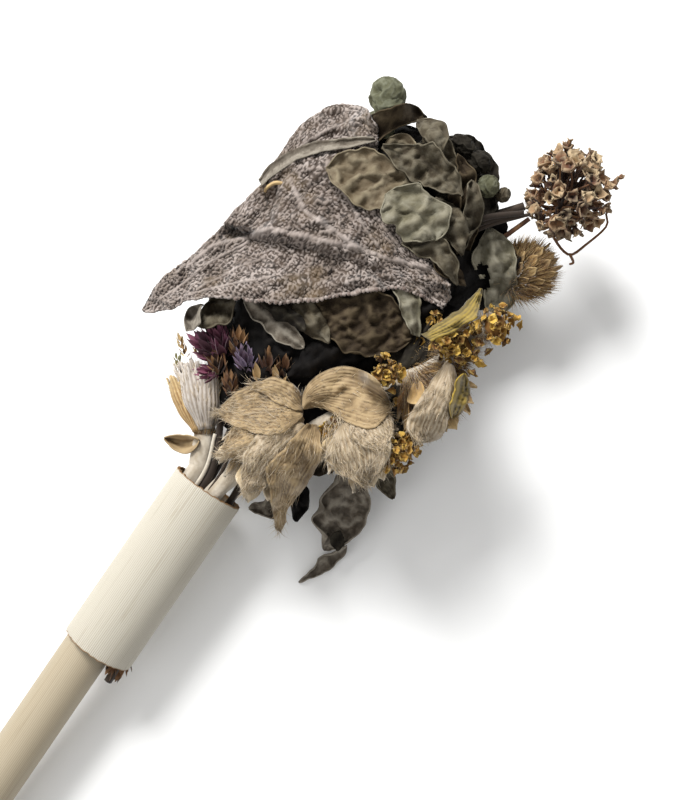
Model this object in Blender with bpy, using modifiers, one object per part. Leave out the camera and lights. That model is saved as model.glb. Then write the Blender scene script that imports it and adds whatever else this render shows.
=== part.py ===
# Dried herb bundle: a head of sage, mountain tea, oregano and leafy herb sprigs,
# pushed by its stems into a short reed sleeve on a thinner reed handle, laid down on a table.
# Lengths are in millimetres until a mesh is made. The design frame has X along the
# reeds towards the head, with 0 at the sleeve's mouth, and Z up from the reeds' axis.
# An empty tilts the whole bundle, so that it rests on the handle's end and on its back leaves.

import math

import bmesh
import bpy
import numpy as np
from mathutils import Matrix, Vector, noise

MM = 0.001

SLEEVE_LENGTH = 39.0
SLEEVE_RADIUS = 7.5
SLEEVE_WALL = 0.6
HANDLE_RADIUS = 4.9
HANDLE_LENGTH = 128.0
HANDLE_INSIDE = 18.0           # how far the handle goes into the sleeve

GAP = 0.3                      # clearance between neighbours
LEAF_THICKNESS = 0.7
BRACT_THICKNESS = 0.8

HEAD_CENTRE = (47.0, -1.0)     # middle of the head, seen from above
HEAD_REACH = (40.0, 21.0)      # half its length and width at the core
CORE_TOP = 8.0                 # height of the stems' core above the axis
CORE_LOW = 13.0
RIM_SLOPE = 0.9                # how steeply leaves droop past the core

REST_X = 48.0                  # the head rests on the table about here
REST_DEPTH = 17.5              # axis height there

HANDLE_END_X = HANDLE_INSIDE - SLEEVE_LENGTH - HANDLE_LENGTH
TILT = math.asin((REST_DEPTH - HANDLE_RADIUS) / (REST_X - HANDLE_END_X))

CELL = 0.5                     # grid step of the height maps
MAP_X = (-60.0, 120.0)
MAP_Y = (-55.0, 50.0)
REACH_CELLS = 3                # a leaf keeps clear of anything this near, sideways

COLOURS = {
    "reed": ((0.74, 0.68, 0.54), 0.55),
    "stem": ((0.30, 0.24, 0.17), 0.85),
    "woolly": ((0.62, 0.57, 0.47), 0.9),
    "sage": ((0.26, 0.23, 0.23), 0.95),
    "khaki": ((0.19, 0.18, 0.12), 0.85),
    "dark_leaf": ((0.08, 0.07, 0.055), 0.85),
    "bract": ((0.55, 0.44, 0.27), 0.8),
    "floret": ((0.66, 0.44, 0.08), 0.8),
    "oregano": ((0.20, 0.07, 0.13), 0.85),
    "seed_head": ((0.24, 0.16, 0.10), 0.9),
}


def clear_scene():
    for thing in list(bpy.data.objects):
        bpy.data.objects.remove(thing, do_unlink=True)


def make_material(name):
    colour, roughness = COLOURS[name]
    material = bpy.data.materials.new(name)
    material.use_nodes = True
    shader = material.node_tree.nodes["Principled BSDF"]
    shader.inputs["Base Color"].default_value = (*colour, 1.0)
    shader.inputs["Roughness"].default_value = roughness
    shader.inputs["Metallic"].default_value = 0.0
    return material


# height maps

def grid_axes():
    xs = np.arange(MAP_X[0], MAP_X[1], CELL) + CELL / 2
    ys = np.arange(MAP_Y[0], MAP_Y[1], CELL) + CELL / 2
    return xs, ys


def core_dome(height):
    # A flattened dome over the stems, falling away past the head's rim.
    xs, ys = grid_axes()
    dx = (xs[:, None] - HEAD_CENTRE[0]) / HEAD_REACH[0]
    dy = (ys[None, :] - HEAD_CENTRE[1]) / HEAD_REACH[1]
    distance = np.sqrt(dx * dx + dy * dy)
    inside = height * np.sqrt(np.clip(1.0 - distance * distance, 0.0, 1.0))
    outside = -RIM_SLOPE * np.clip(distance - 1.0, 0.0, None) * min(HEAD_REACH)
    return np.where(distance < 1.0, inside, outside)


def widen(field, cells):
    # The highest value within this many cells of each cell.
    out = field.copy()
    for _ in range(cells):
        grown = out.copy()
        grown[1:, :] = np.maximum(grown[1:, :], out[:-1, :])
        grown[:-1, :] = np.maximum(grown[:-1, :], out[1:, :])
        grown[:, 1:] = np.maximum(grown[:, 1:], out[:, :-1])
        grown[:, :-1] = np.maximum(grown[:, :-1], out[:, 1:])
        out = grown
    return out


def blur(field, passes):
    out = field.copy()
    for _ in range(passes):
        out[1:-1, :] = (out[:-2, :] + 2 * out[1:-1, :] + out[2:, :]) / 4
        out[:, 1:-1] = (out[:, :-2] + 2 * out[:, 1:-1] + out[:, 2:]) / 4
    return out


def covered_cells(a, b, c):
    # Grid cells under the triangle a, b, c seen from above, with barycentric weights.
    pad = CELL
    low_x = int((min(a[0], b[0], c[0]) - pad - MAP_X[0]) / CELL)
    high_x = int((max(a[0], b[0], c[0]) + pad - MAP_X[0]) / CELL) + 1
    low_y = int((min(a[1], b[1], c[1]) - pad - MAP_Y[0]) / CELL)
    high_y = int((max(a[1], b[1], c[1]) + pad - MAP_Y[0]) / CELL) + 1
    ix, iy = np.meshgrid(np.arange(low_x, high_x), np.arange(low_y, high_y), indexing="ij")
    px = MAP_X[0] + (ix + 0.5) * CELL
    py = MAP_Y[0] + (iy + 0.5) * CELL
    area = (b[0] - a[0]) * (c[1] - a[1]) - (c[0] - a[0]) * (b[1] - a[1])
    if abs(area) < 1e-9:
        return None
    wb = ((px - a[0]) * (c[1] - a[1]) - (c[0] - a[0]) * (py - a[1])) / area
    wc = ((b[0] - a[0]) * (py - a[1]) - (px - a[0]) * (b[1] - a[1])) / area
    wa = 1.0 - wb - wc
    reach = 0.8 * CELL / abs(area)
    keep = wa > -reach * math.dist(b[:2], c[:2])
    keep &= wb > -reach * math.dist(a[:2], c[:2])
    keep &= wc > -reach * math.dist(a[:2], b[:2])
    if not keep.any():
        return None
    weights = np.stack([wa[keep], wb[keep], wc[keep]], axis=1)
    weights = np.clip(weights, 0.0, 1.0)
    weights /= weights.sum(axis=1, keepdims=True)
    return ix[keep], iy[keep], weights


class Stack:
    # The highest and the lowest surface of everything placed so far, seen from above.
    def __init__(self):
        self.top = core_dome(CORE_TOP)
        self.under = core_dome(CORE_LOW)   # stored upside down

    def side(self, facing):
        return self.top if facing > 0 else self.under

    def add(self, points, triangles):
        for i, j, k in triangles:
            cells = covered_cells(points[i], points[j], points[k])
            if cells is None:
                continue
            ix, iy, weights = cells
            heights = weights @ np.array([points[i][2], points[j][2], points[k][2]])
            np.maximum.at(self.top, (ix, iy), heights)
            np.maximum.at(self.under, (ix, iy), -heights)

    def add_object(self, thing):
        depsgraph = bpy.context.evaluated_depsgraph_get()
        evaluated = thing.evaluated_get(depsgraph)
        mesh = evaluated.to_mesh()
        mesh.calc_loop_triangles()
        points = [tuple(c / MM for c in vertex.co) for vertex in mesh.vertices]
        self.add(points, [tuple(t.vertices) for t in mesh.loop_triangles])
        evaluated.to_mesh_clear()


# making objects

class Bundle:
    def __init__(self):
        self.collection = bpy.data.collections.new("dried_herb_bundle")
        bpy.context.scene.collection.children.link(self.collection)
        self.frame = bpy.data.objects.new("bundle_frame", None)
        self.collection.objects.link(self.frame)
        self.materials = {name: make_material(name) for name in COLOURS}
        self.stack = Stack()
        self.pieces = []

    def add(self, name, data, material, in_stack=True, modifiers=()):
        thing = bpy.data.objects.new(name, data)
        self.collection.objects.link(thing)
        data.materials.append(self.materials[material])
        for kind, settings in modifiers:
            modifier = thing.modifiers.new(kind.title(), kind)
            for key, value in settings.items():
                setattr(modifier, key, value)
        if in_stack:
            bpy.context.view_layer.update()
            self.stack.add_object(thing)
        thing.parent = self.frame
        self.pieces.append(thing)
        return thing


def smooth_path(points, count):
    # A Catmull-Rom curve through the points, read at even steps along its length.
    pts = [Vector(p) for p in points]
    ends = [2 * pts[0] - pts[1]] + pts + [2 * pts[-1] - pts[-2]]
    dense = []
    for i in range(len(pts) - 1):
        a, b, c, d = ends[i:i + 4]
        for step in range(16):
            t = step / 16
            dense.append(0.5 * (2 * b + (c - a) * t + (2 * a - 5 * b + 4 * c - d) * t * t
                                + (3 * b - a - 3 * c + d) * t ** 3))
    dense.append(pts[-1])
    lengths = [0.0]
    for a, b in zip(dense, dense[1:]):
        lengths.append(lengths[-1] + (b - a).length)
    out = []
    for step in range(count):
        want = lengths[-1] * step / (count - 1)
        at = next(i for i in range(1, len(dense)) if lengths[i] >= want - 1e-9)
        share = (want - lengths[at - 1]) / max(lengths[at] - lengths[at - 1], 1e-9)
        out.append(dense[at - 1].lerp(dense[at], share))
    return out


def stem(bundle, name, material, radius, points, count=8, tip_radius=None):
    curve = bpy.data.curves.new(name, "CURVE")
    curve.dimensions = "3D"
    curve.bevel_depth = radius * MM
    curve.bevel_resolution = 2
    curve.use_fill_caps = True
    spline = curve.splines.new("POLY")
    path = smooth_path(points, count)
    spline.points.add(len(path) - 1)
    for i, (point, place) in enumerate(zip(spline.points, path)):
        point.co = (*(place * MM), 1.0)
        if tip_radius:
            share = i / (count - 1)
            point.radius = 1.0 + (tip_radius / radius - 1.0) * share
    return bundle.add(name, curve, material)


def turned(bundle, name, material, profile, centre_y):
    # A profile of (radius, x) points turned about the reeds' axis.
    mesh = bpy.data.meshes.new(name)
    form = bmesh.new()
    first = [form.verts.new((x * MM, centre_y * MM + r * MM, 0.0)) for r, x in profile]
    edges = [form.edges.new(pair) for pair in zip(first, first[1:] + first[:1])
             if pair[0] is not pair[1]]
    bmesh.ops.spin(form, geom=first + edges, axis=(1, 0, 0), cent=(0, centre_y * MM, 0),
                   angle=math.tau, steps=28, use_merge=True)
    bmesh.ops.remove_doubles(form, verts=form.verts, dist=1e-6)
    bmesh.ops.recalc_face_normals(form, faces=form.faces)
    form.to_mesh(mesh)
    form.free()
    mesh.shade_smooth()
    mesh.set_sharp_from_angle(angle=math.radians(40))
    return bundle.add(name, mesh, material)


def leaf_edges(spine, width, bulge=0.75, widest=0.45):
    # Both edges of a leaf along a smooth midline; it is widest part of the way along.
    count = 13
    line = smooth_path([(x, y, 0.0) for x, y in spine], count)
    near, far = [], []
    power = math.log(0.5) / math.log(widest)
    for i, place in enumerate(line):
        ahead = line[min(i + 1, count - 1)] - line[max(i - 1, 0)]
        across = Vector((-ahead.y, ahead.x, 0.0)).normalized()
        share = math.sin(math.pi * (i / (count - 1)) ** power)
        half = width / 2 * max(max(share, 0.0) ** bulge, 0.1)
        near.append(place - across * half)
        far.append(place + across * half)
    return near, far


def sheet_points(near, far, along, across):
    # Rows of points from the near edge to the far edge, and their place u, v on the leaf.
    a = smooth_path(near, along + 1)
    b = smooth_path(far, along + 1)
    rows = []
    for i in range(along + 1):
        for j in range(across + 1):
            share = j / across
            place = a[i].lerp(b[i], share)
            rows.append((place.x, place.y, i / along, 2 * share - 1))
    return rows


def relief(u, v, x, y, shape, seed):
    # Height of the leaf's own form at u along it and v across it.
    height = shape.get("arch", 0.0) * math.sin(math.pi * u)
    height += shape.get("cup", 0.0) * v * v
    height -= shape.get("fold", 0.0) * abs(v)
    height += shape.get("tip", 0.0) * u * u
    height += shape.get("base", 0.0) * (1 - u) ** 2
    height += shape.get("lean", 0.0) * v
    wave = shape.get("wave", 0.8)
    height += wave * noise.noise(Vector((x / 5.0, y / 5.0, seed * 7.3)))
    return height


def settle(points, heights, triangles, surface, stiff):
    # Lifts the sheet off whatever lies below: first as a whole, then point by point.
    cells = []
    owners = []
    weights = []
    for tri in triangles:
        found = covered_cells(points[tri[0]], points[tri[1]], points[tri[2]])
        if found is None:
            continue
        ix, iy, share = found
        cells.append(surface[ix, iy])
        owners.append(np.tile(np.array(tri), (len(ix), 1)))
        weights.append(share)
    ground = np.concatenate(cells)
    owners = np.concatenate(owners)
    weights = np.concatenate(weights)
    heights = np.array(heights)

    def lack():
        return ground + GAP - (heights[owners] * weights).sum(axis=1)

    heights += np.quantile(lack(), stiff)
    for _ in range(200):
        need = lack()
        if need.max() < 0.005:
            break
        push = np.zeros(len(heights))
        for corner in range(3):
            short = np.where(weights[:, corner] > 0.2, need, 0.0)
            np.maximum.at(push, owners[:, corner], np.clip(short, 0.0, None))
        if push.max() < 0.005:
            break
        heights += push * 0.6
    heights += max(lack().max(), 0.0)
    return heights


def leaf(bundle, name, material, near, far, grid=(6, 4), facing=1, stiff=0.6, hug=0.7,
         thickness=LEAF_THICKNESS, rest=None, **shape):
    # A leaf laid over the pile (facing 1) or under it (facing -1), thickened away from it.
    along, across = grid
    seed = len(bundle.pieces) + 1
    surface = widen(bundle.stack.side(facing), REACH_CELLS)
    soft = blur(surface, 60)
    rows = sheet_points(near, far, along, across)
    heights = []
    for x, y, u, v in rows:
        ix = int((x - MAP_X[0]) / CELL)
        iy = int((y - MAP_Y[0]) / CELL)
        heights.append(hug * soft[ix, iy] + relief(u, v, x, y, shape, seed))
    triangles = []
    for i in range(along):
        for j in range(across):
            a = i * (across + 1) + j
            b = a + across + 1
            triangles += [(a, b, b + 1), (a, b + 1, a + 1)]
    heights = settle(rows, heights, triangles, surface, stiff)
    if rest is not None:
        heights = rest_on_table(rows, heights, rest)
    mesh = bpy.data.meshes.new(name)
    form = bmesh.new()
    verts = [form.verts.new((x * MM, y * MM, facing * h * MM))
             for (x, y, _, _), h in zip(rows, heights)]
    for tri in triangles:
        form.faces.new([verts[i] for i in tri])
    bmesh.ops.recalc_face_normals(form, faces=form.faces)
    outward = sum(face.normal.z for face in form.faces)
    if outward * facing < 0:
        bmesh.ops.reverse_faces(form, faces=form.faces)
    form.to_mesh(mesh)
    form.free()
    mesh.shade_smooth()
    solid = {"thickness": thickness * MM, "offset": 1.0, "use_even_offset": False}
    return bundle.add(name, mesh, material, modifiers=(("SOLIDIFY", solid),))


def table_depth(x):
    # How far below the axis the table lies, under the point x.
    bottom = HANDLE_RADIUS / math.cos(TILT)
    return bottom + (x - HANDLE_END_X) * math.tan(TILT)


def rest_on_table(rows, heights, belly):
    # Lowers the middle of a back leaf until it lies flat on the table.
    out = []
    for (x, _, u, v), height in zip(rows, heights):
        flat = table_depth(x) - LEAF_THICKNESS - 0.02
        closeness = max(0.0, 1.0 - abs(2 * u - 1) ** 3) * max(0.0, 1.0 - abs(v) ** 3)
        share = min(1.0, closeness / belly)
        out.append(min(height + (flat - height) * share, flat))
    return out


def lump(bundle, name, material, centre, radii, turn=0.0, height=None, facing=1, rough=0.12,
         detail=2):
    # A rounded cluster, dropped on the pile or held at a height of its own.
    mesh = bpy.data.meshes.new(name)
    form = bmesh.new()
    bmesh.ops.create_icosphere(form, subdivisions=detail, radius=1.0)
    seed = len(bundle.pieces) + 1
    spin = Matrix.Rotation(math.radians(turn), 3, "Z")
    points = []
    for vert in form.verts:
        swell = 1.0 + rough * noise.noise(vert.co * 1.9 + Vector((seed, 0, 0)))
        local = Vector(c * r for c, r in zip(vert.co * swell, radii))
        points.append(spin @ local + Vector((*centre, 0.0)))
    triangles = [tuple(v.index for v in face.verts) for face in form.faces]
    if height is None:
        surface = widen(bundle.stack.side(facing), REACH_CELLS)
        lack = -1e9
        for tri in triangles:
            found = covered_cells(*(points[i] for i in tri))
            if found is None:
                continue
            ix, iy, weights = found
            own = weights @ np.array([facing * points[i].z for i in tri])
            lack = max(lack, float((surface[ix, iy] - own).max()))
        height = facing * (lack + GAP)
    for vert, point in zip(form.verts, points):
        vert.co = (point + Vector((0, 0, height))) * MM
    bmesh.ops.recalc_face_normals(form, faces=form.faces)
    form.to_mesh(mesh)
    form.free()
    mesh.shade_smooth()
    return bundle.add(name, mesh, material)


# the pieces

def reeds(bundle):
    inner = SLEEVE_RADIUS - SLEEVE_WALL
    turned(bundle, "reed_sleeve", "reed",
           [(inner, 0.0), (SLEEVE_RADIUS, 0.0), (SLEEVE_RADIUS, -SLEEVE_LENGTH),
            (inner, -SLEEVE_LENGTH)], 0.0)
    start = HANDLE_END_X
    end = start + HANDLE_LENGTH
    turned(bundle, "reed_handle", "reed",
           [(0.0, end), (HANDLE_RADIUS, end), (HANDLE_RADIUS, start), (0.0, start)],
           inner - HANDLE_RADIUS - GAP)


def stems(bundle):
    stem(bundle, "tea_stem_left", "woolly", 2.2,
         [(-18, 4.2, 0.6), (0, 4.4, 0.8), (8, 6.5, 1.0), (15, 10.5, 0.5)])
    stem(bundle, "tea_stem_main", "woolly", 1.9,
         [(-18, -1.2, 4.3), (0, -1.6, 4.6), (10, -5, 5.5), (22, -11, 6.0), (36, -17, 6.0),
          (49, -21, 5.0)])
    stem(bundle, "sage_stem", "stem", 1.2,
         [(-18, 1.2, -4.6), (0, 1.2, -4.2), (20, 4, -3), (40, 7, -1), (58, 6, 1)])
    stem(bundle, "leafy_stem", "stem", 1.0,
         [(-18, -1.8, -0.6), (0, -2, -0.6), (20, -2.5, 0), (45, -4, 1), (62, -8, 2),
          (72, -13, 4), (81, -20, 5)], count=10)
    stem(bundle, "oregano_stem_upper", "stem", 0.8,
         [(-43, -5.4, 1.2), (-36, -5.2, 1.5), (0, -5.2, 1.5), (8, -3, 2.0), (16, 3, 4.2),
          (23, 8, 5.0)], count=10)
    stem(bundle, "oregano_stem_lower", "stem", 0.8,
         [(-42, -4.8, -2.6), (-36, -4.9, -2.3), (0, -5, -2.2), (12, -9, -3), (24, -15, -3),
          (34, -20, -3)], count=9)
    stem(bundle, "flower_head_stalk", "stem", 0.7,
         [(50, -13, -1), (62, -17, 0), (72, -19.5, 1), (78.3, -21.8, 3)], count=6)


def simple_leaf(bundle, name, material, spine, width, bulge=0.75, widest=0.45, **settings):
    near, far = leaf_edges(spine, width, bulge, widest)
    return leaf(bundle, name, material, near, far, **settings)


def rim_leaves(bundle):
    simple_leaf(bundle, "rim_leaf_1", "dark_leaf", [(20, -23), (11, -26), (2, -26)], 12,
                cup=2.0, arch=2.0, hug=0.5)
    simple_leaf(bundle, "rim_leaf_2", "dark_leaf", [(8, -15), (4, -12.5), (0.5, -10.5)], 5.5,
                grid=(4, 3), cup=1.0)
    simple_leaf(bundle, "rim_leaf_3", "dark_leaf", [(6, -31), (-1, -29), (-8, -26)], 4,
                grid=(5, 3), cup=0.8, hug=0.2)
    simple_leaf(bundle, "rim_leaf_4", "dark_leaf", [(25, -22), (21, -28), (18, -33)], 7,
                grid=(4, 3), cup=1.0)


def inner_leaves(bundle):
    simple_leaf(bundle, "inner_leaf_1", "dark_leaf", [(20, 3), (36, 6), (56, 11)], 20,
                stiff=0.5, hug=0.9)
    simple_leaf(bundle, "inner_leaf_2", "dark_leaf", [(40, -9), (58, -7), (76, -2)], 20,
                stiff=0.5, hug=0.9)


def tip_leaves(bundle):
    simple_leaf(bundle, "dark_leaf_1", "dark_leaf", [(61, -16), (73, -9), (80, 3)], 12,
                arch=1.5, fold=2.0)
    simple_leaf(bundle, "dark_leaf_2", "dark_leaf", [(66, -18), (77, -14), (86, -6)], 9,
                arch=1.0, fold=1.5)
    simple_leaf(bundle, "knob_flap", "dark_leaf", [(84, 3), (80, 9), (75, 15)], 8,
                grid=(5, 4), cup=1.5)
    lump(bundle, "knob_leaf", "khaki", (83.0, 14.0), (4.6, 4.6, 3.6), rough=0.25)


def right_side(bundle):
    lump(bundle, "flower_head", "seed_head", (88.6, -25.6), (9.5, 8.0, 7.0), height=3.0,
         rough=0.3)
    lump(bundle, "woolly_whorl", "woolly", (71.6, -28.2), (8.0, 5.8, 5.5), turn=34,
         height=-2.5, rough=0.25)
    simple_leaf(bundle, "torn_leaf", "khaki", [(58, -27.5), (66, -23.5), (73, -17)], 10,
                cup=-1.5, arch=1.0)
    simple_leaf(bundle, "thin_leaf", "khaki", [(56, -21), (61, -13), (61, -4)], 8,
                arch=1.0, cup=1.0)


def leaves_under_sage(bundle):
    simple_leaf(bundle, "under_leaf_1", "khaki", [(46, -17), (45, -6), (42, 6)], 15,
                arch=1.5, cup=1.5)
    simple_leaf(bundle, "under_leaf_2", "khaki", [(35, 18), (34, 9), (33, 0)], 7,
                fold=1.5)
    simple_leaf(bundle, "under_leaf_3", "dark_leaf", [(40, 12), (40, 4), (38, -4)], 8,
                fold=1.0)
    simple_leaf(bundle, "under_leaf_4", "khaki", [(34, 18), (29, 20), (23, 21)], 8,
                grid=(5, 4), cup=1.0)
    simple_leaf(bundle, "under_leaf_5", "khaki", [(54, -4), (50, -10), (47, -17)], 7,
                grid=(5, 4), fold=1.2)


def tea_whorls(bundle):
    # Woolly rings of flowers up the two mountain tea stems.
    whorls = {
        "tea_whorl_left": ((14.5, 15.5), (9.5, 5.0, 4.8)),
        "tea_whorl_fan": ((14.0, -5.5), (9.0, 7.5, 2.8)),
        "tea_whorl_middle": ((25.0, -19.0), (8.0, 8.5, 3.2)),
        "tea_whorl_right": ((41.0, -25.0), (8.5, 7.0, 3.2)),
    }
    for name, (centre, radii) in whorls.items():
        lump(bundle, name, "woolly", centre, radii, turn=34, rough=0.2)
    simple_leaf(bundle, "tea_bract_curled", "bract", [(6.5, 8.5), (3.5, 11.5), (1, 14)], 5.5,
                grid=(4, 3), cup=1.0, hug=0.3, thickness=BRACT_THICKNESS)


def oregano_flowers(bundle):
    lump(bundle, "oregano_flower_1", "oregano", (26.0, 16.0), (4.2, 5.0, 2.8), rough=0.3)
    lump(bundle, "oregano_flower_2", "oregano", (25.5, 7.0), (4.5, 4.5, 2.8), rough=0.3)


def tea_florets(bundle):
    florets = {
        "tea_floret_1": ((50.0, -23.5), (3.8, 6.0, 2.6)),
        "tea_floret_2": ((56.5, -27.5), (4.0, 3.6, 2.6)),
        "tea_floret_3": ((29.0, -27.0), (3.8, 3.0, 2.2)),
        "tea_floret_4": ((38.5, -16.5), (3.0, 3.2, 2.2)),
    }
    for name, (centre, radii) in florets.items():
        lump(bundle, name, "floret", centre, radii, rough=0.3)


def tea_bracts(bundle):
    bracts = {
        "tea_bract_1": ([(24, -8), (20, 1), (17, 8)], 10, dict(arch=1.0, cup=-1.0)),
        "tea_bract_2": ([(22, -7), (13, -3), (5, 0)], 9, dict(arch=1.0, cup=-1.0)),
        "tea_bract_3": ([(21, -13), (12, -14.5), (2, -17)], 9, dict(arch=1.0, cup=-1.0)),
        "tea_bract_5": ([(27, -17), (23, -22), (19, -28)], 11, dict(arch=1.0, cup=-1.5)),
        "tea_bract_6": ([(47, -22), (39, -27), (30, -29.5)], 11, dict(arch=1.0, cup=-1.5)),
        "tea_bract_4": ([(25, -5), (30, -13), (35, -22)], 13, dict(arch=1.5, cup=-2.0)),
        "tea_bract_7": ([(46, -16), (54, -20), (62.5, -22)], 7, dict(tip=1.5, cup=1.0)),
    }
    for name, (spine, width, shape) in bracts.items():
        simple_leaf(bundle, name, "bract", spine, width, thickness=BRACT_THICKNESS, **shape)


def sage_leaves(bundle):
    near = [(55, 22), (60, 15), (67, 9), (74, 6), (80, 8)]
    far = [(56, 23), (62, 23.2), (69, 23.2), (75, 21), (79, 15)]
    leaf(bundle, "sage_leaf_back", "sage", [(x, y, 0) for x, y in near],
         [(x, y, 0) for x, y in far], grid=(8, 6), arch=1.5, wave=1.2)
    near = [(21.5, 29.2), (28.5, 22.5), (33.5, 15), (43, 1), (49, -5), (55, -11), (57, -19)]
    far = [(22, 30.2), (32, 28.2), (44, 24), (57, 23), (68, 14), (70, 0), (65, -12), (59, -19)]
    leaf(bundle, "sage_leaf_large", "sage", [(x, y, 0) for x, y in near],
         [(x, y, 0) for x, y in far], grid=(14, 9), arch=2.0, base=7.0, wave=1.5, hug=0.85)


def khaki_leaves(bundle):
    simple_leaf(bundle, "khaki_leaf_1", "khaki", [(61, 13), (67.5, 6), (73, -3)], 11,
                bulge=0.6, cup=1.0)
    simple_leaf(bundle, "khaki_leaf_3", "khaki", [(71, 8), (76, 1), (80, -8)], 12,
                fold=2.5)
    simple_leaf(bundle, "khaki_leaf_2", "khaki", [(61, 2), (65.5, -4), (69.5, -11)], 10,
                bulge=0.6, cup=0.8)


def back_leaves(bundle):
    # The underside, from the stems outwards. The last three leaves lie on the table.
    simple_leaf(bundle, "back_leaf_1", "khaki", [(16, 2), (34, 8), (52, 9)], 17,
                facing=-1, stiff=0.5, hug=0.9)
    simple_leaf(bundle, "back_leaf_2", "khaki", [(24, -9), (44, -12), (64, -12)], 17,
                facing=-1, stiff=0.5, hug=0.9)
    simple_leaf(bundle, "back_leaf_3", "dark_leaf", [(54, 3), (70, 2), (86, 0)], 19,
                facing=-1, stiff=0.5, hug=0.9)
    simple_leaf(bundle, "back_leaf_4", "dark_leaf", [(12, -7), (25, -18), (40, -24)], 13,
                facing=-1, hug=0.9)
    simple_leaf(bundle, "back_leaf_5", "dark_leaf", [(50, 18), (66, 16), (81, 10)], 13,
                facing=-1, hug=0.9)
    simple_leaf(bundle, "back_sage_leaf", "sage", [(20, 10), (42, 15), (66, 12)], 18,
                grid=(8, 6), facing=-1, rest=0.4)
    simple_leaf(bundle, "back_leaf_6", "khaki", [(38, -13), (56, -16), (74, -14)], 15,
                facing=-1, rest=0.4)


def place_bundle(bundle):
    # Tilts the bundle, then sets its box's middle over the origin and its underside at zero.
    bundle.frame.rotation_euler = (0.0, -TILT, 0.0)
    bpy.context.view_layer.update()
    depsgraph = bpy.context.evaluated_depsgraph_get()
    corners = []
    for piece in bundle.pieces:
        evaluated = piece.evaluated_get(depsgraph)
        mesh = evaluated.to_mesh()
        corners += [piece.matrix_world @ vertex.co for vertex in mesh.vertices]
        evaluated.to_mesh_clear()
    low = [min(c[i] for c in corners) for i in range(3)]
    high = [max(c[i] for c in corners) for i in range(3)]
    bundle.frame.location = (-(low[0] + high[0]) / 2, -(low[1] + high[1]) / 2, -low[2])
    bpy.context.view_layer.update()


def main():
    clear_scene()
    bundle = Bundle()
    reeds(bundle)
    stems(bundle)
    rim_leaves(bundle)
    tea_whorls(bundle)
    inner_leaves(bundle)
    oregano_flowers(bundle)
    tip_leaves(bundle)
    right_side(bundle)
    leaves_under_sage(bundle)
    tea_florets(bundle)
    tea_bracts(bundle)
    sage_leaves(bundle)
    khaki_leaves(bundle)
    back_leaves(bundle)
    place_bundle(bundle)


main()
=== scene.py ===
import math
import random

import bmesh
import bpy
import numpy as np
from mathutils import Matrix, Vector


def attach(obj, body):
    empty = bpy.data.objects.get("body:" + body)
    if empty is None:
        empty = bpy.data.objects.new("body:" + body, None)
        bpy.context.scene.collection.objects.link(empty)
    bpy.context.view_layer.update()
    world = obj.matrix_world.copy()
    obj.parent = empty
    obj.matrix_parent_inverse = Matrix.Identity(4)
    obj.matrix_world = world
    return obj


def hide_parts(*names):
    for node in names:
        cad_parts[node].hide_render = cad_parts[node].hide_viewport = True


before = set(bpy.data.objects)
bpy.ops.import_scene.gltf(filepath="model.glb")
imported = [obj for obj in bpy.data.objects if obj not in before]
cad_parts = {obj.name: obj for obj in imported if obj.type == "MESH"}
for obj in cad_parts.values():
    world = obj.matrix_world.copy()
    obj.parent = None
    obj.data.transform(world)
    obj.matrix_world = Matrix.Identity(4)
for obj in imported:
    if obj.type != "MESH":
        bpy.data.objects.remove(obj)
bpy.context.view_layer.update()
mm = 0.001
dice = random.Random(11)


# where the bundle lies

def findBundleFrame():
    points = np.array([v.co[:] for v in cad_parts["reed_sleeve"].data.vertices])
    middle = points.mean(axis=0)
    far = points[points[:, 0] > middle[0]].mean(axis=0)
    near = points[points[:, 0] < middle[0]].mean(axis=0)
    along = Vector(far - near).normalized()
    reach = max(Vector(p - middle).dot(along) for p in points)
    mouth = Vector(middle) + along * reach
    side = Vector((0.0, 1.0, 0.0))
    up = along.cross(side).normalized()
    turn = Matrix((along, side, up)).transposed().to_4x4()
    return Matrix.Translation(mouth) @ turn


bundleFrame = findBundleFrame()
tilt = math.asin(bundleFrame.col[0].z)
mouthHeight = bundleFrame.translation.z / mm


def tableDepth(x):
    # how far under the axis the table lies
    return (mouthHeight + x * math.sin(tilt)) / math.cos(tilt)


def nodeRoom(name):
    # middle and half size of a CAD node, in the bundle's frame
    inverse = bundleFrame.inverted()
    corners = np.array([(inverse @ v.co)[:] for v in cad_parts[name].data.vertices]) / mm
    low = corners.min(axis=0)
    high = corners.max(axis=0)
    return (low + high) / 2, (high - low) / 2


# numbers that vary smoothly over a surface

def mixBits(ix, iy, seed):
    bits = (ix * 374761393 + iy * 668265263 + seed * 974711) & 0xffffffff
    bits = ((bits ^ (bits >> 13)) * 1274126177) & 0xffffffff
    return (bits ^ (bits >> 16)) & 0xffff


def softNoise(x, y, seed=0):
    x = np.asarray(x, dtype=float) + 100.37
    y = np.asarray(y, dtype=float) + 100.71
    ix = np.floor(x).astype(np.int64)
    iy = np.floor(y).astype(np.int64)
    fx = x - ix
    fy = y - iy
    ux = fx * fx * fx * (fx * (fx * 6 - 15) + 10)
    uy = fy * fy * fy * (fy * (fy * 6 - 15) + 10)

    def corner(cx, cy):
        angle = mixBits(ix + cx, iy + cy, seed) * (math.tau / 65536)
        return np.cos(angle) * (fx - cx) + np.sin(angle) * (fy - cy)

    low = corner(0, 0) * (1 - ux) + corner(1, 0) * ux
    high = corner(0, 1) * (1 - ux) + corner(1, 1) * ux
    return (low * (1 - uy) + high * uy) * 1.5


def creases(x, y, seed=0):
    # sharp ridges between soft hollows, from 0 to 1
    return 1.0 - np.minimum(np.abs(softNoise(x, y, seed)) * 2.2, 1.0)


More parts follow.
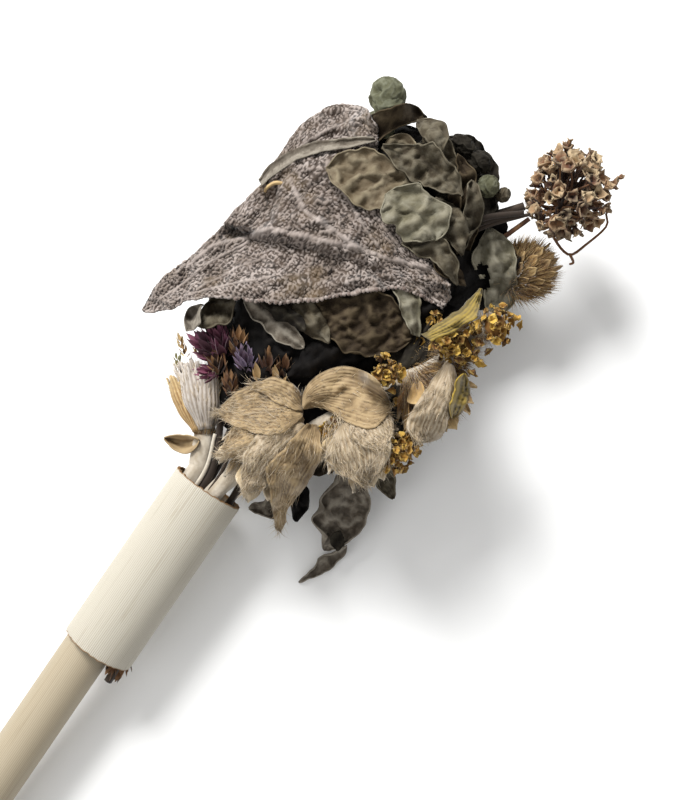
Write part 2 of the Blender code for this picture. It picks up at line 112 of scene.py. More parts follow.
def cellEdges(x, y, seed=0):
    # small cells: how far from the net between them, and a number for each cell
    x = np.asarray(x, dtype=float) + 50.0
    y = np.asarray(y, dtype=float) + 50.0
    ix = np.floor(x).astype(np.int64)
    iy = np.floor(y).astype(np.int64)
    first = np.full(x.shape, 9.0)
    second = np.full(x.shape, 9.0)
    tone = np.zeros(x.shape)
    for dx in (-1, 0, 1):
        for dy in (-1, 0, 1):
            a = mixBits(ix + dx, iy + dy, seed) / 65536
            b = mixBits(ix + dx, iy + dy, seed + 77) / 65536
            gap = np.hypot(ix + dx + 0.15 + 0.7 * a - x, iy + dy + 0.15 + 0.7 * b - y)
            nearer = gap < first
            second = np.where(nearer, first, np.minimum(second, gap))
            tone = np.where(nearer, b, tone)
            first = np.where(nearer, gap, first)
    return second - first, tone


def smoothStep(low, high, value):
    t = np.clip((value - low) / (high - low), 0.0, 1.0)
    return t * t * (3 - 2 * t)


def smoothPath(points, count):
    # Catmull-Rom curve through the points, at even steps along its length
    pts = np.array([tuple(p) + (0.0,) * (3 - len(p)) for p in points], dtype=float)
    ends = np.vstack([2 * pts[0] - pts[1], pts, 2 * pts[-1] - pts[-2]])
    t = np.linspace(0, 1, 16, endpoint=False)[:, None]
    dense = []
    for i in range(len(pts) - 1):
        a, b, c, d = ends[i:i + 4]
        dense.append(0.5 * (2 * b + (c - a) * t + (2 * a - 5 * b + 4 * c - d) * t ** 2
                            + (3 * b - a - 3 * c + d) * t ** 3))
    dense = np.vstack(dense + [pts[-1:]])
    steps = np.linalg.norm(np.diff(dense, axis=0), axis=1)
    length = np.concatenate([[0.0], np.cumsum(steps)])
    want = np.linspace(0, length[-1], count)
    return np.stack([np.interp(want, length, dense[:, k]) for k in range(3)], axis=1)


# the heap: the highest and the lowest surface of all that has been laid

heapGrid = {"cell": 0.3, "x": (-20.0, 108.0), "y": (-48.0, 44.0)}
core = {"middle": (47.0, -1.0), "reach": (40.0, 21.0), "top": 8.0, "under": 13.0,
        "rimSlope": 0.9}


def coreDome(height):
    cell = heapGrid["cell"]
    xs = np.arange(*heapGrid["x"], cell) + cell / 2
    ys = np.arange(*heapGrid["y"], cell) + cell / 2
    dx = (xs[:, None] - core["middle"][0]) / core["reach"][0]
    dy = (ys[None, :] - core["middle"][1]) / core["reach"][1]
    distance = np.sqrt(dx * dx + dy * dy)
    inside = height * np.sqrt(np.clip(1 - distance * distance, 0, 1))
    outside = -core["rimSlope"] * np.clip(distance - 1, 0, None) * min(core["reach"])
    return np.where(distance < 1, inside, outside)


heap = {1: coreDome(core["top"]), -1: coreDome(core["under"])}


def gridPlace(x, y):
    shape = heap[1].shape
    ix = ((np.asarray(x) - heapGrid["x"][0]) / heapGrid["cell"]).astype(int)
    iy = ((np.asarray(y) - heapGrid["y"][0]) / heapGrid["cell"]).astype(int)
    return np.clip(ix, 0, shape[0] - 1), np.clip(iy, 0, shape[1] - 1)


def addToHeap(points):
    ix, iy = gridPlace(points[:, 0], points[:, 1])
    np.maximum.at(heap[1], (ix, iy), points[:, 2])
    np.maximum.at(heap[-1], (ix, iy), -points[:, 2])


def widen(field, cells):
    out = field
    for _ in range(cells):
        grown = out.copy()
        grown[1:, :] = np.maximum(grown[1:, :], out[:-1, :])
        grown[:-1, :] = np.maximum(grown[:-1, :], out[1:, :])
        grown[:, 1:] = np.maximum(grown[:, 1:], out[:, :-1])
        grown[:, :-1] = np.maximum(grown[:, :-1], out[:, 1:])
        out = grown
    return out


def blur(field, passes):
    out = field.copy()
    for _ in range(passes):
        out[1:-1, :] = (out[:-2, :] + 2 * out[1:-1, :] + out[2:, :]) / 4
        out[:, 1:-1] = (out[:, :-2] + 2 * out[:, 1:-1] + out[:, 2:]) / 4
        out[0, :], out[-1, :] = out[1, :], out[-2, :]
        out[:, 0], out[:, -1] = out[:, 1], out[:, -2]
    return out


# making meshes

finishes = {}


def keepOffTable(mesh):
    # lifts what would reach under the table on to it
    flat = np.empty(len(mesh.vertices) * 3)
    mesh.vertices.foreach_get("co", flat)
    points = flat.reshape(-1, 3)
    lowest = -tableDepth(points[:, 0] / mm) * mm + 0.0003
    points[:, 2] = np.maximum(points[:, 2], lowest)
    mesh.vertices.foreach_set("co", points.ravel())


def finishPiece(piece, finish, nodes=()):
    piece.data.materials.append(finishes[finish])
    piece.matrix_world = bundleFrame
    keepOffTable(piece.data)
    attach(piece, "root")
    if nodes:
        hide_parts(*nodes)
    return piece


def meshPiece(name, points, faces, values=None, thickness=None, smooth=True):
    mesh = bpy.data.meshes.new(name)
    mesh.from_pydata((np.asarray(points) * mm).tolist(), [], faces)
    for key, numbers in (values or {}).items():
        layer = mesh.attributes.new(key, "FLOAT", "POINT")
        layer.data.foreach_set("value", np.asarray(numbers, dtype=np.float32).ravel())
    if smooth:
        mesh.shade_smooth()
    piece = bpy.data.objects.new(name, mesh)
    bpy.context.scene.collection.objects.link(piece)
    if thickness:
        solid = piece.modifiers.new("Thickness", "SOLIDIFY")
        solid.thickness = thickness * mm
        solid.offset = 0.0
    return piece


def gridFaces(rows, columns, flip=False, start=0):
    faces = []
    for i in range(rows - 1):
        for j in range(columns - 1):
            a = start + i * columns + j
            b = a + columns
            quad = (a, a + 1, b + 1, b) if flip else (a, b, b + 1, a + 1)
            faces.append(quad)
    return faces


def tubeMesh(path, radii, sides, ribs=0, ribDepth=0.0, seed=0):
    # a round stem along the path, with fine ribs if wanted, closed at both ends
    path = np.asarray(path, dtype=float)
    count = len(path)
    ahead = np.gradient(path, axis=0)
    ahead /= np.linalg.norm(ahead, axis=1, keepdims=True)
    side = np.cross(ahead, (0, 0, 1.0))
    side /= np.maximum(np.linalg.norm(side, axis=1, keepdims=True), 1e-6)
    up = np.cross(side, ahead)
    angle = np.arange(sides) * math.tau / sides
    radii = np.broadcast_to(np.asarray(radii, dtype=float), (count,))
    swell = np.ones((count, sides))
    if ribs:
        swell += ribDepth * np.cos(angle * ribs)[None, :]
    swell += 0.05 * softNoise(np.arange(count)[:, None] * 0.35,
                              np.cos(angle)[None, :] * 1.5 + seed, seed)
    ring = radii[:, None] * swell
    points = (path[:, None, :] + ring[..., None] * (np.cos(angle)[None, :, None] * side[:, None, :]
              + np.sin(angle)[None, :, None] * up[:, None, :])).reshape(-1, 3)
    faces = []
    for i in range(count - 1):
        for j in range(sides):
            k = (j + 1) % sides
            faces.append((i * sides + j, (i + 1) * sides + j, (i + 1) * sides + k, i * sides + k))
    faces.append(tuple(range(sides)))
    faces.append(tuple(reversed(range((count - 1) * sides, count * sides))))
    return points, faces


def ballShape(fineness):
    form = bmesh.new()
    bmesh.ops.create_icosphere(form, subdivisions=fineness, radius=1.0)
    points = np.array([v.co[:] for v in form.verts])
    faces = [tuple(v.index for v in f.verts) for f in form.faces]
    form.free()
    return points, faces


class Batch:
    # small shapes gathered into one mesh, with a tone for each
    def __init__(self):
        self.points = []
        self.faces = []
        self.tones = []
        self.tips = []
        self.size = 0

    def add(self, points, faces, tone=0.5, tip=None):
        count = len(points)
        self.points.append(np.asarray(points, dtype=float))
        self.faces += [tuple(i + self.size for i in face) for face in faces]
        self.tones.append(np.broadcast_to(np.asarray(tone, dtype=float), (count,)))
        self.tips.append(np.zeros(count) if tip is None else np.asarray(tip, dtype=float))
        self.size += count

    def piece(self, name, thickness=None):
        points = np.vstack(self.points)
        values = {"tone": np.concatenate(self.tones), "tip": np.concatenate(self.tips)}
        return meshPiece(name, points, self.faces, values, thickness), points


def placeMatrix(place, ahead, up, size=1.0):
    # turns +X to ahead and +Z near to up
    x = Vector(ahead).normalized()
    z = Vector(up)
    y = z.cross(x)
    if y.length < 1e-4:
        y = Vector((0.3, 1, 0.2)).cross(x)
    y.normalize()
    z = x.cross(y)
    return np.array(Matrix((x, y, z)).transposed()) * size, np.array(place, dtype=float)


def petalShape(length, width, rows=5, columns=5, cup=0.3, curl=0.3, point=1.0, frill=0.1,
               widest=0.6, seed=0):
    # a small petal or bract from its foot at 0 along +X; cup bends its sides up, curl its tip
    u = np.linspace(0, 1, rows)[:, None]
    v = np.linspace(-1, 1, columns)[None, :]
    power = math.log(0.5) / math.log(widest)
    half = width / 2 * np.maximum(np.sin(math.pi * u ** power) ** (0.6 * point), 0.12)
    ripple = frill * softNoise(u * 2.2 + seed * 3.1, v * 1.7 + seed, seed)
    x = length * u * (1 - 0.06 * v * v) + 0 * v
    y = half * v * (1 + ripple)
    z = cup * width * 0.5 * v * v * np.sin(math.pi * np.clip(u, 0, 1) ** 0.7)
    z = z + curl * length * u * u + ripple * width * 0.9
    points = np.stack([x + 0 * y, y + 0 * x, z + 0 * x], axis=-1).reshape(-1, 3)
    tip = (u + 0 * v).reshape(-1)
    return points, gridFaces(rows, columns), tip


def aroundBall(count, seed=0):
    # even directions over a ball
    out = []
    for i in range(count):
        z = 1 - 2 * (i + 0.5) / count
        r = math.sqrt(max(0.0, 1 - z * z))
        a = i * 2.399963 + seed
        out.append(Vector((r * math.cos(a), r * math.sin(a), z)))
    return out


def addHair(batch, root, ahead, length, radius=0.05, bend=0.35, segments=2, tone=0.5):
    # one tapering hair, three-sided
    ahead = Vector(ahead).normalized()
    sway = Vector((dice.uniform(-1, 1), dice.uniform(-1, 1), dice.uniform(-1, 1)))
    side = ahead.cross(Vector((0.3, 0.5, 0.8))).normalized()
    up = ahead.cross(side)
    place = Vector(root)
    points = []
    for i in range(segments):
        share = i / segments
        width = radius * (1 - 0.6 * share)
        for k in range(3):
            a = k * math.tau / 3
            points.append((place + (side * math.cos(a) + up * math.sin(a)) * width)[:])
        place = place + (ahead + sway * bend * share) * (length / segments)
    points.append(place[:])
    faces = [(0, 2, 1)]
    for i in range(segments):
        for k in range(3):
            m = (k + 1) % 3
            root, beside = i * 3 + k, i * 3 + m
            if i < segments - 1:
                faces.append((root, beside, beside + 3, root + 3))
            else:
                faces.append((root, beside, segments * 3))
    tips = np.append(np.repeat(np.linspace(0, 1, segments + 1)[:-1], 3), 1.0)
    batch.add(points, faces, tone, tips)


# leaves and bracts laid on the heap

laid = {}
softHeap = {}
viewpoint = {"x": 30.4, "y": -13.4, "height": 240.0, "turn": 55.5, "lens": 54.0}


def leafEdges(spec, count):
    if "near" in spec:
        return smoothPath(spec["near"], count), smoothPath(spec["far"], count)
    line = smoothPath(spec["spine"], count)
    ahead = np.gradient(line, axis=0)
    across = np.stack([-ahead[:, 1], ahead[:, 0], 0 * ahead[:, 0]], axis=1)
    across /= np.linalg.norm(across, axis=1, keepdims=True)
    u = np.linspace(0, 1, count)
    power = math.log(0.5) / math.log(spec.get("widest", 0.45))
    share = np.maximum(np.sin(math.pi * u ** power), 0.0) ** spec.get("bulge", 0.75)
    half = spec["width"] / 2 * np.maximum(share, 0.06)
    return line - across * half[:, None], line + across * half[:, None]


def settleGrid(x, y, height, facing, stiff, gap, soften):
    # lifts the sheet clear of the heap: first whole, then where something still pokes it
    ground = widen(heap[facing], 1)[gridPlace(x, y)] + gap
    height = height + np.quantile(ground - height, stiff)
    poke = np.maximum(ground - height, 0.0)
    lift = poke.copy()
    for _ in range(soften):
        lift = np.maximum(poke, blur(lift, 1))
    return height + lift


def veinLines(u, v, half, length, spacing, slant):
    # midrib and side veins, 1 on a vein
    acrossMm = np.abs(v) * half
    midrib = np.exp(-(acrossMm / 0.35) ** 2)
    along = (u * length - acrossMm * slant) / spacing + 0.35 * np.sign(v)
    gap = np.abs(along - np.round(along)) * spacing
    side = np.exp(-(gap / 0.22) ** 2) * smoothStep(1.0, 0.75, np.abs(v))
    return np.maximum(midrib, 0.8 * side)


def lineGap(x, y, line):
    # distance to a line on the leaf, below zero on its right-hand side
    path = smoothPath(line, 60)
    best = np.full(x.shape, 1e9)
    signed = np.zeros(x.shape)
    for (ax, ay, _), (bx, by, _) in zip(path[:-1], path[1:]):
        dx, dy = bx - ax, by - ay
        t = np.clip(((x - ax) * dx + (y - ay) * dy) / (dx * dx + dy * dy), 0, 1)
        gap = np.hypot(x - ax - t * dx, y - ay - t * dy)
        side = np.sign(dx * (y - ay) - dy * (x - ax))
        signed = np.where(gap < best, gap * side, signed)
        best = np.minimum(best, gap)
    return signed


def leafRelief(x, y, u, v, half, length, spec, seed):
    # height of the sheet, settled on the heap, and the values its finish reads
    facing = spec.get("facing", 1)
    height = spec.get("hug", 0.75) * softHeap[facing][gridPlace(x, y)]
    height = height + spec.get("arch", 0.0) * np.sin(math.pi * u)
    height = height + spec.get("cup", 0.0) * v * v
    height = height - spec.get("fold", 0.0) * np.abs(v)
    height = height + spec.get("tip", 0.0) * u * u + spec.get("base", 0.0) * (1 - u) ** 2
    height = height + spec.get("lean", 0.0) * v
    # pale: above zero along raised lines (paler veins), below zero along sunken ones, where the sage
    # finish paints shade
    pale = np.zeros_like(height)
    for line, rise, breadth in spec.get("ridges", ()):
        gap = np.abs(lineGap(x, y, line))
        height = height + rise * np.exp(-(gap / breadth) ** 1.3)
        pale = pale + np.sign(rise) * np.exp(-(gap / min(0.4 * breadth, 0.55)) ** 2)
    for line, drop, breadth in spec.get("steps", ()):
        gap = lineGap(x, y, line)
        inside = np.exp(-(np.maximum(np.abs(gap) - 4.5, 0) / 3.0) ** 2)
        height = height - drop * smoothStep(0.0, breadth, -gap) * inside
    if "pleats" in spec:
        count, rise = spec["pleats"]
        bend = v * count / 2 + 0.5 * softNoise(u * length / 7.0, v * 1.2, seed + 15)
        height = height + rise * (np.abs(bend - np.round(bend)) * 4 - 1) * np.sin(math.pi * u) ** 0.4
    height = height + spec.get("wave", 1.2) * softNoise(x / 5.5, y / 5.5, seed)
    crumple = spec.get("crumple", 1.6)
    bendX = x + 1.2 * softNoise(x / 3.0, y / 3.0, seed + 13)
    bendY = y + 1.2 * softNoise(x / 3.0, y / 3.0, seed + 14)
    height = height + crumple * (creases(bendX / 5.5, bendY / 5.5, seed + 3) - 0.5)
    broad, _ = cellEdges((x + 0.3 * bendY) / 4.6, (y + 0.2 * bendX) / 3.4, seed + 21)
    small, _ = cellEdges(bendX / 2.3, bendY / 2.6, seed + 22)
    height = height + crumple * (1.15 * broad - 0.4 * small)
    height = height + 0.12 * crumple * softNoise(x / 0.8, y / 0.8, seed + 10)
    if "ribs" in spec:
        sway = v + 0.05 * softNoise(u * 3.0, v * 2.5, seed + 11)
        vein = (0.5 + 0.5 * np.cos(math.pi * spec["ribs"] * sway)) ** 1.5 + 0 * u
        height = height + spec.get("ribRise", 0.3) * (vein - 0.4) * np.minimum(1, u * 4)
    else:
        vein = veinLines(u, v, half, length, spec.get("veinSpacing", 2.6),
                         spec.get("slant", 0.8))
        height = height + spec.get("veinRise", -0.2) * vein
    height = settleGrid(x, y, height, facing, spec.get("stiff", 0.75), spec.get("gap", 0.3), 30)
    if "rest" in spec:
        inner = (1 - (2 * u - 1) ** 2) * (1 - v ** 2)
        pull = smoothStep(0.0, spec["rest"], inner)
        height = height + (tableDepth(x) - 0.5 - height) * pull
    if facing < 0:
        height = np.minimum(height, tableDepth(x) - 0.35)
    values = {"vein": vein, "edge": np.abs(v) + 0 * u, "pale": pale}
    if "net" in spec:
        size = spec["net"]
        warpX = x + 0.45 * softNoise(x / 2.5, y / 2.5, seed + 8)
        warpY = y + 0.45 * softNoise(x / 2.5, y / 2.5, seed + 9)
        wall, values["cellTone"] = cellEdges(warpX / size, warpY / size, seed)
        coarse, _ = cellEdges(warpX / (size * 5), warpY / (size * 5), seed + 5)
        net = np.maximum(1 - smoothStep(0.02, 0.26, wall), 1 - smoothStep(0.005, 0.045, coarse))
        net = np.maximum(net, np.clip(0.6 * pale, 0, 1))
        height = height + spec.get("netRise", 0.45) * net
        values["net"] = net
    return height, values


def evenOut(line, passes):
    out = line.copy()
    for _ in range(passes):
        out[1:-1] = (out[:-2] + 2 * out[1:-1] + out[2:]) / 4
    return out


def layLeaf(name, spec):
    facing = spec.get("facing", 1)
    seed = spec.get("seed", sum(ord(c) for c in name) % 97)
    step = spec.get("step", 0.32)
    near, far = leafEdges(spec, 40)
    length = np.linalg.norm(np.diff((near + far) / 2, axis=0), axis=1).sum()
    rows = max(int(length / step), 8)
    columns = max(int(np.linalg.norm(far - near, axis=1).max() / step), 6) | 1
    near, far = leafEdges(spec, rows)
    u = np.linspace(0, 1, rows)[:, None]
    v = np.linspace(-1, 1, columns)[None, :]
    half = np.linalg.norm(far - near, axis=1)[:, None] / 2
    ragged = spec.get("ragged", 0.8) / np.maximum(half, 1.0)
    waver = 1 + ragged * (softNoise(u * length / 4.0, np.sign(v) * 3.0, seed)
                          + 0.5 * softNoise(u * length / 1.5, np.sign(v) * 5.0, seed + 1))
    share = (1 + v * waver) / 2
    drawnX = near[:, :1] * (1 - share) + far[:, :1] * share
    drawnY = near[:, 1:2] * (1 - share) + far[:, 1:2] * share
    softHeap[facing] = blur(widen(heap[facing], 1), 140)
    x, y = drawnX, drawnY
    rise, values = leafRelief(x, y, u, v, half, length, spec, seed)
    for _ in range(2 if "seenAt" in spec else 0):
        # keep its outline where the eye above sees it, whatever height it settled at
        scale = (viewpoint["height"] - rise) / (viewpoint["height"] - spec["seenAt"])
        x = viewpoint["x"] + (drawnX - viewpoint["x"]) * scale
        y = viewpoint["y"] + (drawnY - viewpoint["y"]) * scale
        moved = dict(spec)
        middle = float(scale.mean())
        for key in ("ridges", "steps"):
            moved[key] = [([(viewpoint["x"] + (px - viewpoint["x"]) * middle,
                             viewpoint["y"] + (py - viewpoint["y"]) * middle)
                            for px, py in line], *rest) for line, *rest in spec.get(key, ())]
        rise, values = leafRelief(x, y, u, v, half, length, moved, seed)
    rise = np.array(rise)
    x = x + 0 * rise
    y = y + 0 * rise

    # a rim that curls up and in, like a dried margin
    rise = rise + 0 * x
    for side, width, radius in spec.get("rolls", ()):
        column = np.where(v[0] * side > 0)[0]
        order = column if side > 0 else column[::-1]
        out = np.abs(v[0, order])
        reach = width * (1 + 0.5 * softNoise(u[:, 0] * length / 4.0, 7.7, seed + 6))
        start = np.clip(1 - reach / np.maximum(half[:, 0], 0.2), 0.35, 0.98)
        bend = radius * (1 + 0.45 * softNoise(u[:, 0] * length / 3.0, 3.3, seed + 7))
        bend = np.maximum(bend, 0.15)
        hinge, inner = [np.array([[np.interp(at, out, grid[i, order]) for grid in (x, y, rise)]
                                  for i, at in enumerate(line)])
                        for line in (start, start - 0.15)]
        run = np.maximum(np.hypot(*(hinge - inner)[:, :2].T), 0.05)
        slope = evenOut(np.clip(np.arctan2(hinge[:, 2] - inner[:, 2], run), -0.7, 0.7), 12)
        hingeHeight = evenOut(hinge[:, 2], 4)
        across = np.stack([far[:, 0] - near[:, 0], far[:, 1] - near[:, 1]]) / (2 * half[:, 0])
        turned = (out[None, :] - start[:, None]) * half / bend[:, None]
        ahead = bend[:, None] * np.sin(turned)
        lift = bend[:, None] * (1 - np.cos(turned))
        flat = ahead * np.cos(slope)[:, None] - lift * np.sin(slope)[:, None]
        up = ahead * np.sin(slope)[:, None] + lift * np.cos(slope)[:, None]
        past = turned > 0
        for grid, rolled in ((x, hinge[:, :1] + across[0][:, None] * side * flat),
                             (y, hinge[:, 1:2] + across[1][:, None] * side * flat),
                             (rise, hingeHeight[:, None] + up)):
            grid[:, order] = np.where(past, rolled, grid[:, order])

    points = np.stack([x, y, facing * rise], axis=-1).reshape(-1, 3)
    faces = gridFaces(rows, columns, flip=facing < 0)
    for hole in spec.get("holes", ()):
        hx, hy, radius = hole
        wobble = 0.35 * softNoise(points[:, 0] / 1.1, points[:, 1] / 1.1, seed + 12)
        inside = np.hypot(points[:, 0] - hx, points[:, 1] - hy) < radius * (1 + wobble)
        faces = [f for f in faces if not all(inside[i] for i in f)]
    addToHeap(points)
    values = {key: np.broadcast_to(field, (rows, columns)) for key, field in values.items()}
    values["tone"] = softNoise(x / 7.0, y / 7.0, seed + 2)
    # creaseTone: height above the blurred sheet; the finishes paint shade into its hollows and make
    # its crests paler
    values["creaseTone"] = np.clip((rise - blur(rise, 9)) / 0.22, -1, 1)
    piece = meshPiece(name, points, faces, values, spec.get("thickness", 0.24))
    dropLooseVerts(piece)
    finishPiece(piece, spec["finish"], spec.get("nodes", (name,)))
    laid[name] = points.reshape(rows, columns, 3)
    return piece


def dropLooseVerts(piece):
    form = bmesh.new()
    form.from_mesh(piece.data)
    loose = [v for v in form.verts if not v.link_faces]
    if loose:
        bmesh.ops.delete(form, geom=loose, context="VERTS")
        form.to_mesh(piece.data)
    form.free()


# materials

def toLinear(hexColour):
    parts = [int(hexColour[i:i + 2], 16) / 255 for i in (1, 3, 5)]
    return [c / 12.92 if c <= 0.04045 else ((c + 0.055) / 1.055) ** 2.4 for c in parts] + [1.0]


def addNode(tree, kind, settings=None, links=None):
    node = tree.nodes.new(kind)
    for key, value in (settings or {}).items():
        if isinstance(key, int) or key in node.inputs:
            node.inputs[key].default_value = value
        else:
            setattr(node, key, value)
    for key, source in (links or {}).items():
        tree.links.new(source, node.inputs[key])
    return node


def colourRamp(tree, source, stops):
    ramp = addNode(tree, "ShaderNodeValToRGB", links={0: source})
    ends = ramp.color_ramp.elements
    while len(ends) < len(stops):
        ends.new(0.5)
    for end, (place, colour) in zip(ends, stops):
        end.position = place
        end.color = toLinear(colour)
    return ramp.outputs["Color"]


def newFinish(name, roughness, sheen=0.0, ior=1.45, specular=0.5):
    material = bpy.data.materials.new(name)
    material.use_nodes = True
    tree = material.node_tree
    shader = tree.nodes["Principled BSDF"]
    shader.inputs["Roughness"].default_value = roughness
    shader.inputs["IOR"].default_value = ior
    shader.inputs["Specular IOR Level"].default_value = specular
    shader.inputs["Sheen Weight"].default_value = sheen
    shader.inputs["Sheen Roughness"].default_value = 0.5
    finishes[name] = material
    return tree, shader


def mixColours(tree, share, first, second, how="MIX"):
    node = addNode(tree, "ShaderNodeMix", {"data_type": "RGBA", "blend_type": how})
    colours = [s for s in node.inputs if s.type == "RGBA"]
    if hasattr(share, "links"):
        tree.links.new(share, node.inputs[0])
    else:
        node.inputs[0].default_value = share
    for socket, value in zip(colours, (first, second)):
        if isinstance(value, str):
            socket.default_value = toLinear(value)
        else:
            tree.links.new(value, socket)
    return next(s for s in node.outputs if s.type == "RGBA")


def attribute(tree, name):
    return addNode(tree, "ShaderNodeAttribute", {"attribute_name": name}).outputs["Fac"]


def noiseValue(tree, sizeMm, detail=3.0, stretch=(1, 1, 1), rough=0.5):
    # a mottle whose blots are about this many millimetres across
    place = addNode(tree, "ShaderNodeTexCoord").outputs["Object"]
    scaled = addNode(tree, "ShaderNodeMapping", {"Scale": stretch}, {"Vector": place})
    node = addNode(tree, "ShaderNodeTexNoise",
                   {"Scale": 1 / (sizeMm * mm), "Detail": detail, "Roughness": rough},
                   {"Vector": scaled.outputs[0]})
    return node.outputs["Fac"]


def addBump(tree, shader, source, strength, depthMm):
    bump = addNode(tree, "ShaderNodeBump", {"Strength": strength, "Distance": depthMm * mm},
                   {"Height": source})
    tree.links.new(bump.outputs[0], shader.inputs["Normal"])


def creaseShadeColour(tree, colour, deep, creaseTone):
    # painted shade: dark where the sheet is creased in; paler along the crests
    worth = attribute(tree, "creaseTone")
    # painted shade in the creased-in hollows, mixed toward the deep colour
    hollow = addNode(tree, "ShaderNodeMapRange", {"From Min": -0.15, "From Max": -1.0,
                                                  "To Max": 0.5}, {"Value": worth}).outputs[0]
    crest = addNode(tree, "ShaderNodeMapRange", {"From Min": 0.45, "From Max": 1.0,
                                                 "To Max": 0.2}, {"Value": worth}).outputs[0]
    return mixColours(tree, crest, mixColours(tree, hollow, colour, deep), creaseTone)


def driedLeafFinish(name, look):
    # air-dried leaf blade: matt, mottled, with a pale bleached margin and paler veins
    tree, shader = newFinish(name, 0.85, specular=0.2)
    mottle = noiseValue(tree, 1.6, 4.0)
    colour = colourRamp(tree, mottle, [(0.2, look["dark"]), (0.5, look["base"]),
                                       (0.8, look["light"])])
    stain = noiseValue(tree, 8.0, 2.0)
    stained = addNode(tree, "ShaderNodeMapRange", {"From Min": 0.52, "From Max": 0.72,
                                                   "To Max": look.get("stainShare", 0.5)},
                      {"Value": stain}).outputs[0]
    colour = mixColours(tree, stained, colour, look["stain"])
    veins = addNode(tree, "ShaderNodeMath", {"operation": "MULTIPLY", 1: 0.4},
                    {0: attribute(tree, "vein")}).outputs[0]
    colour = mixColours(tree, veins, colour, look["vein"])
    rim = addNode(tree, "ShaderNodeMapRange", {"From Min": look.get("rimFrom", 0.95),
                                               "From Max": 1.0, "To Max": 0.22},
                  {"Value": attribute(tree, "edge")}).outputs[0]
    patchy = addNode(tree, "ShaderNodeMapRange", {"From Min": 0.38, "From Max": 0.62},
                     {"Value": noiseValue(tree, 2.0, 2.0)}).outputs[0]
    rim = addNode(tree, "ShaderNodeMath", {"operation": "MULTIPLY"},
                  {0: rim, 1: patchy}).outputs[0]
    colour = mixColours(tree, rim, colour, look["rim"])
    speck = noiseValue(tree, 0.5, 2.0)
    specks = addNode(tree, "ShaderNodeMapRange", {"From Min": 0.62, "From Max": 0.75,
                                                  "To Max": 0.45}, {"Value": speck}).outputs[0]
    colour = mixColours(tree, specks, colour, look["dark"])
    # painted shade in the creases, paler crests
    colour = creaseShadeColour(tree, colour, look["dark"], look["rim"])
    tree.links.new(colour, shader.inputs["Base Color"])
    addBump(tree, shader, noiseValue(tree, 0.6, 5.0), 0.6, 0.12)


def sageFinish(name):
    # dried sage blade: a pale felted net of veins round dark sunken cells
    tree, shader = newFinish(name, 0.9, sheen=0.25)
    cells = mixColours(tree, attribute(tree, "cellTone"), "#251b13", "#4a3d33")
    net = colourRamp(tree, noiseValue(tree, 4.0, 3.0), [(0.35, "#776b62"), (0.65, "#9a8f88")])
    sharp = addNode(tree, "ShaderNodeMapRange", {"From Min": 0.1, "From Max": 0.8},
                    {"Value": attribute(tree, "net")}).outputs[0]
    colour = mixColours(tree, sharp, cells, net)
    olive = addNode(tree, "ShaderNodeMapRange", {"From Min": 0.55, "From Max": 0.72,
                                                 "To Max": 0.5},
                    {"Value": noiseValue(tree, 9.0, 2.0)}).outputs[0]
    colour = mixColours(tree, olive, colour, "#5d4a2c")
    crest = addNode(tree, "ShaderNodeMapRange", {"From Min": 0.2, "From Max": 1.0,
                                                 "To Max": 0.4},
                    {"Value": attribute(tree, "pale")}).outputs[0]
    colour = mixColours(tree, crest, colour, "#9d928b")
    # painted shade: dark brown along the sunken lines below the crests
    hollow = addNode(tree, "ShaderNodeMapRange", {"From Min": -0.1, "From Max": -0.9,
                                                  "To Max": 0.75},
                     {"Value": attribute(tree, "pale")}).outputs[0]
    colour = mixColours(tree, hollow, colour, "#2e2014")
    rim = addNode(tree, "ShaderNodeMapRange", {"From Min": 0.965, "From Max": 0.985,
                                               "To Max": 0.5},
                  {"Value": attribute(tree, "edge")}).outputs[0]
    colour = mixColours(tree, rim, colour, "#a0958e")
    tree.links.new(colour, shader.inputs["Base Color"])
    addBump(tree, shader, noiseValue(tree, 0.25, 3.0), 0.5, 0.08)


def reedFinish(name, pale, deep, streak, rim):
    # cut reed culm: silica-bright straw skin with long fine ribs and a raw ochre cut
    tree, shader = newFinish(name, 0.5, specular=0.4)
    ribs = noiseValue(tree, 0.45, 2.0, stretch=(0.02, 1, 1))
    tint = colourRamp(tree, ribs, [(0.15, deep), (0.42, pale), (0.8, pale)])
    groove = addNode(tree, "ShaderNodeMapRange", {"From Min": 0.75, "From Max": 0.2,
                                                  "To Max": 0.8},
                     {"Value": attribute(tree, "tone")}).outputs[0]
    colour = mixColours(tree, groove, tint, deep)
    marks = noiseValue(tree, 2.2, 3.0, stretch=(0.12, 1, 1))
    marked = addNode(tree, "ShaderNodeMapRange", {"From Min": 0.66, "From Max": 0.74,
                                                  "To Max": 0.4}, {"Value": marks}).outputs[0]
    colour = mixColours(tree, marked, colour, streak)
    cut = addNode(tree, "ShaderNodeMapRange", {"From Min": 0.4, "From Max": 0.9},
                  {"Value": attribute(tree, "edge")}).outputs[0]
    colour = mixColours(tree, cut, colour, rim)
    tree.links.new(colour, shader.inputs["Base Color"])
    addBump(tree, shader, ribs, 0.25, 0.08)


def strawFinish(name, look):
    # papery bract: long ribs from foot to tip, darker between them
    tree, shader = newFinish(name, 0.7, sheen=0.15)
    colour = colourRamp(tree, noiseValue(tree, 2.6, 3.0), [(0.3, look["dark"]),
                                                           (0.5, look["base"]),
                                                           (0.7, look["light"])])
    ribs = addNode(tree, "ShaderNodeMath", {"operation": "MULTIPLY", 1: 0.75},
                   {0: attribute(tree, "vein")}).outputs[0]
    colour = mixColours(tree, ribs, colour, look["rib"])
    rim = addNode(tree, "ShaderNodeMapRange", {"From Min": 0.9, "From Max": 1.0,
                                               "To Max": 0.7},
                  {"Value": attribute(tree, "edge")}).outputs[0]
    colour = mixColours(tree, rim, colour, look["rim"])
    # painted shade in the creases, paler crests
    colour = creaseShadeColour(tree, colour, look["dark"], look["rib"])
    tree.links.new(colour, shader.inputs["Base Color"])
    addBump(tree, shader, noiseValue(tree, 0.5, 4.0), 0.4, 0.1)


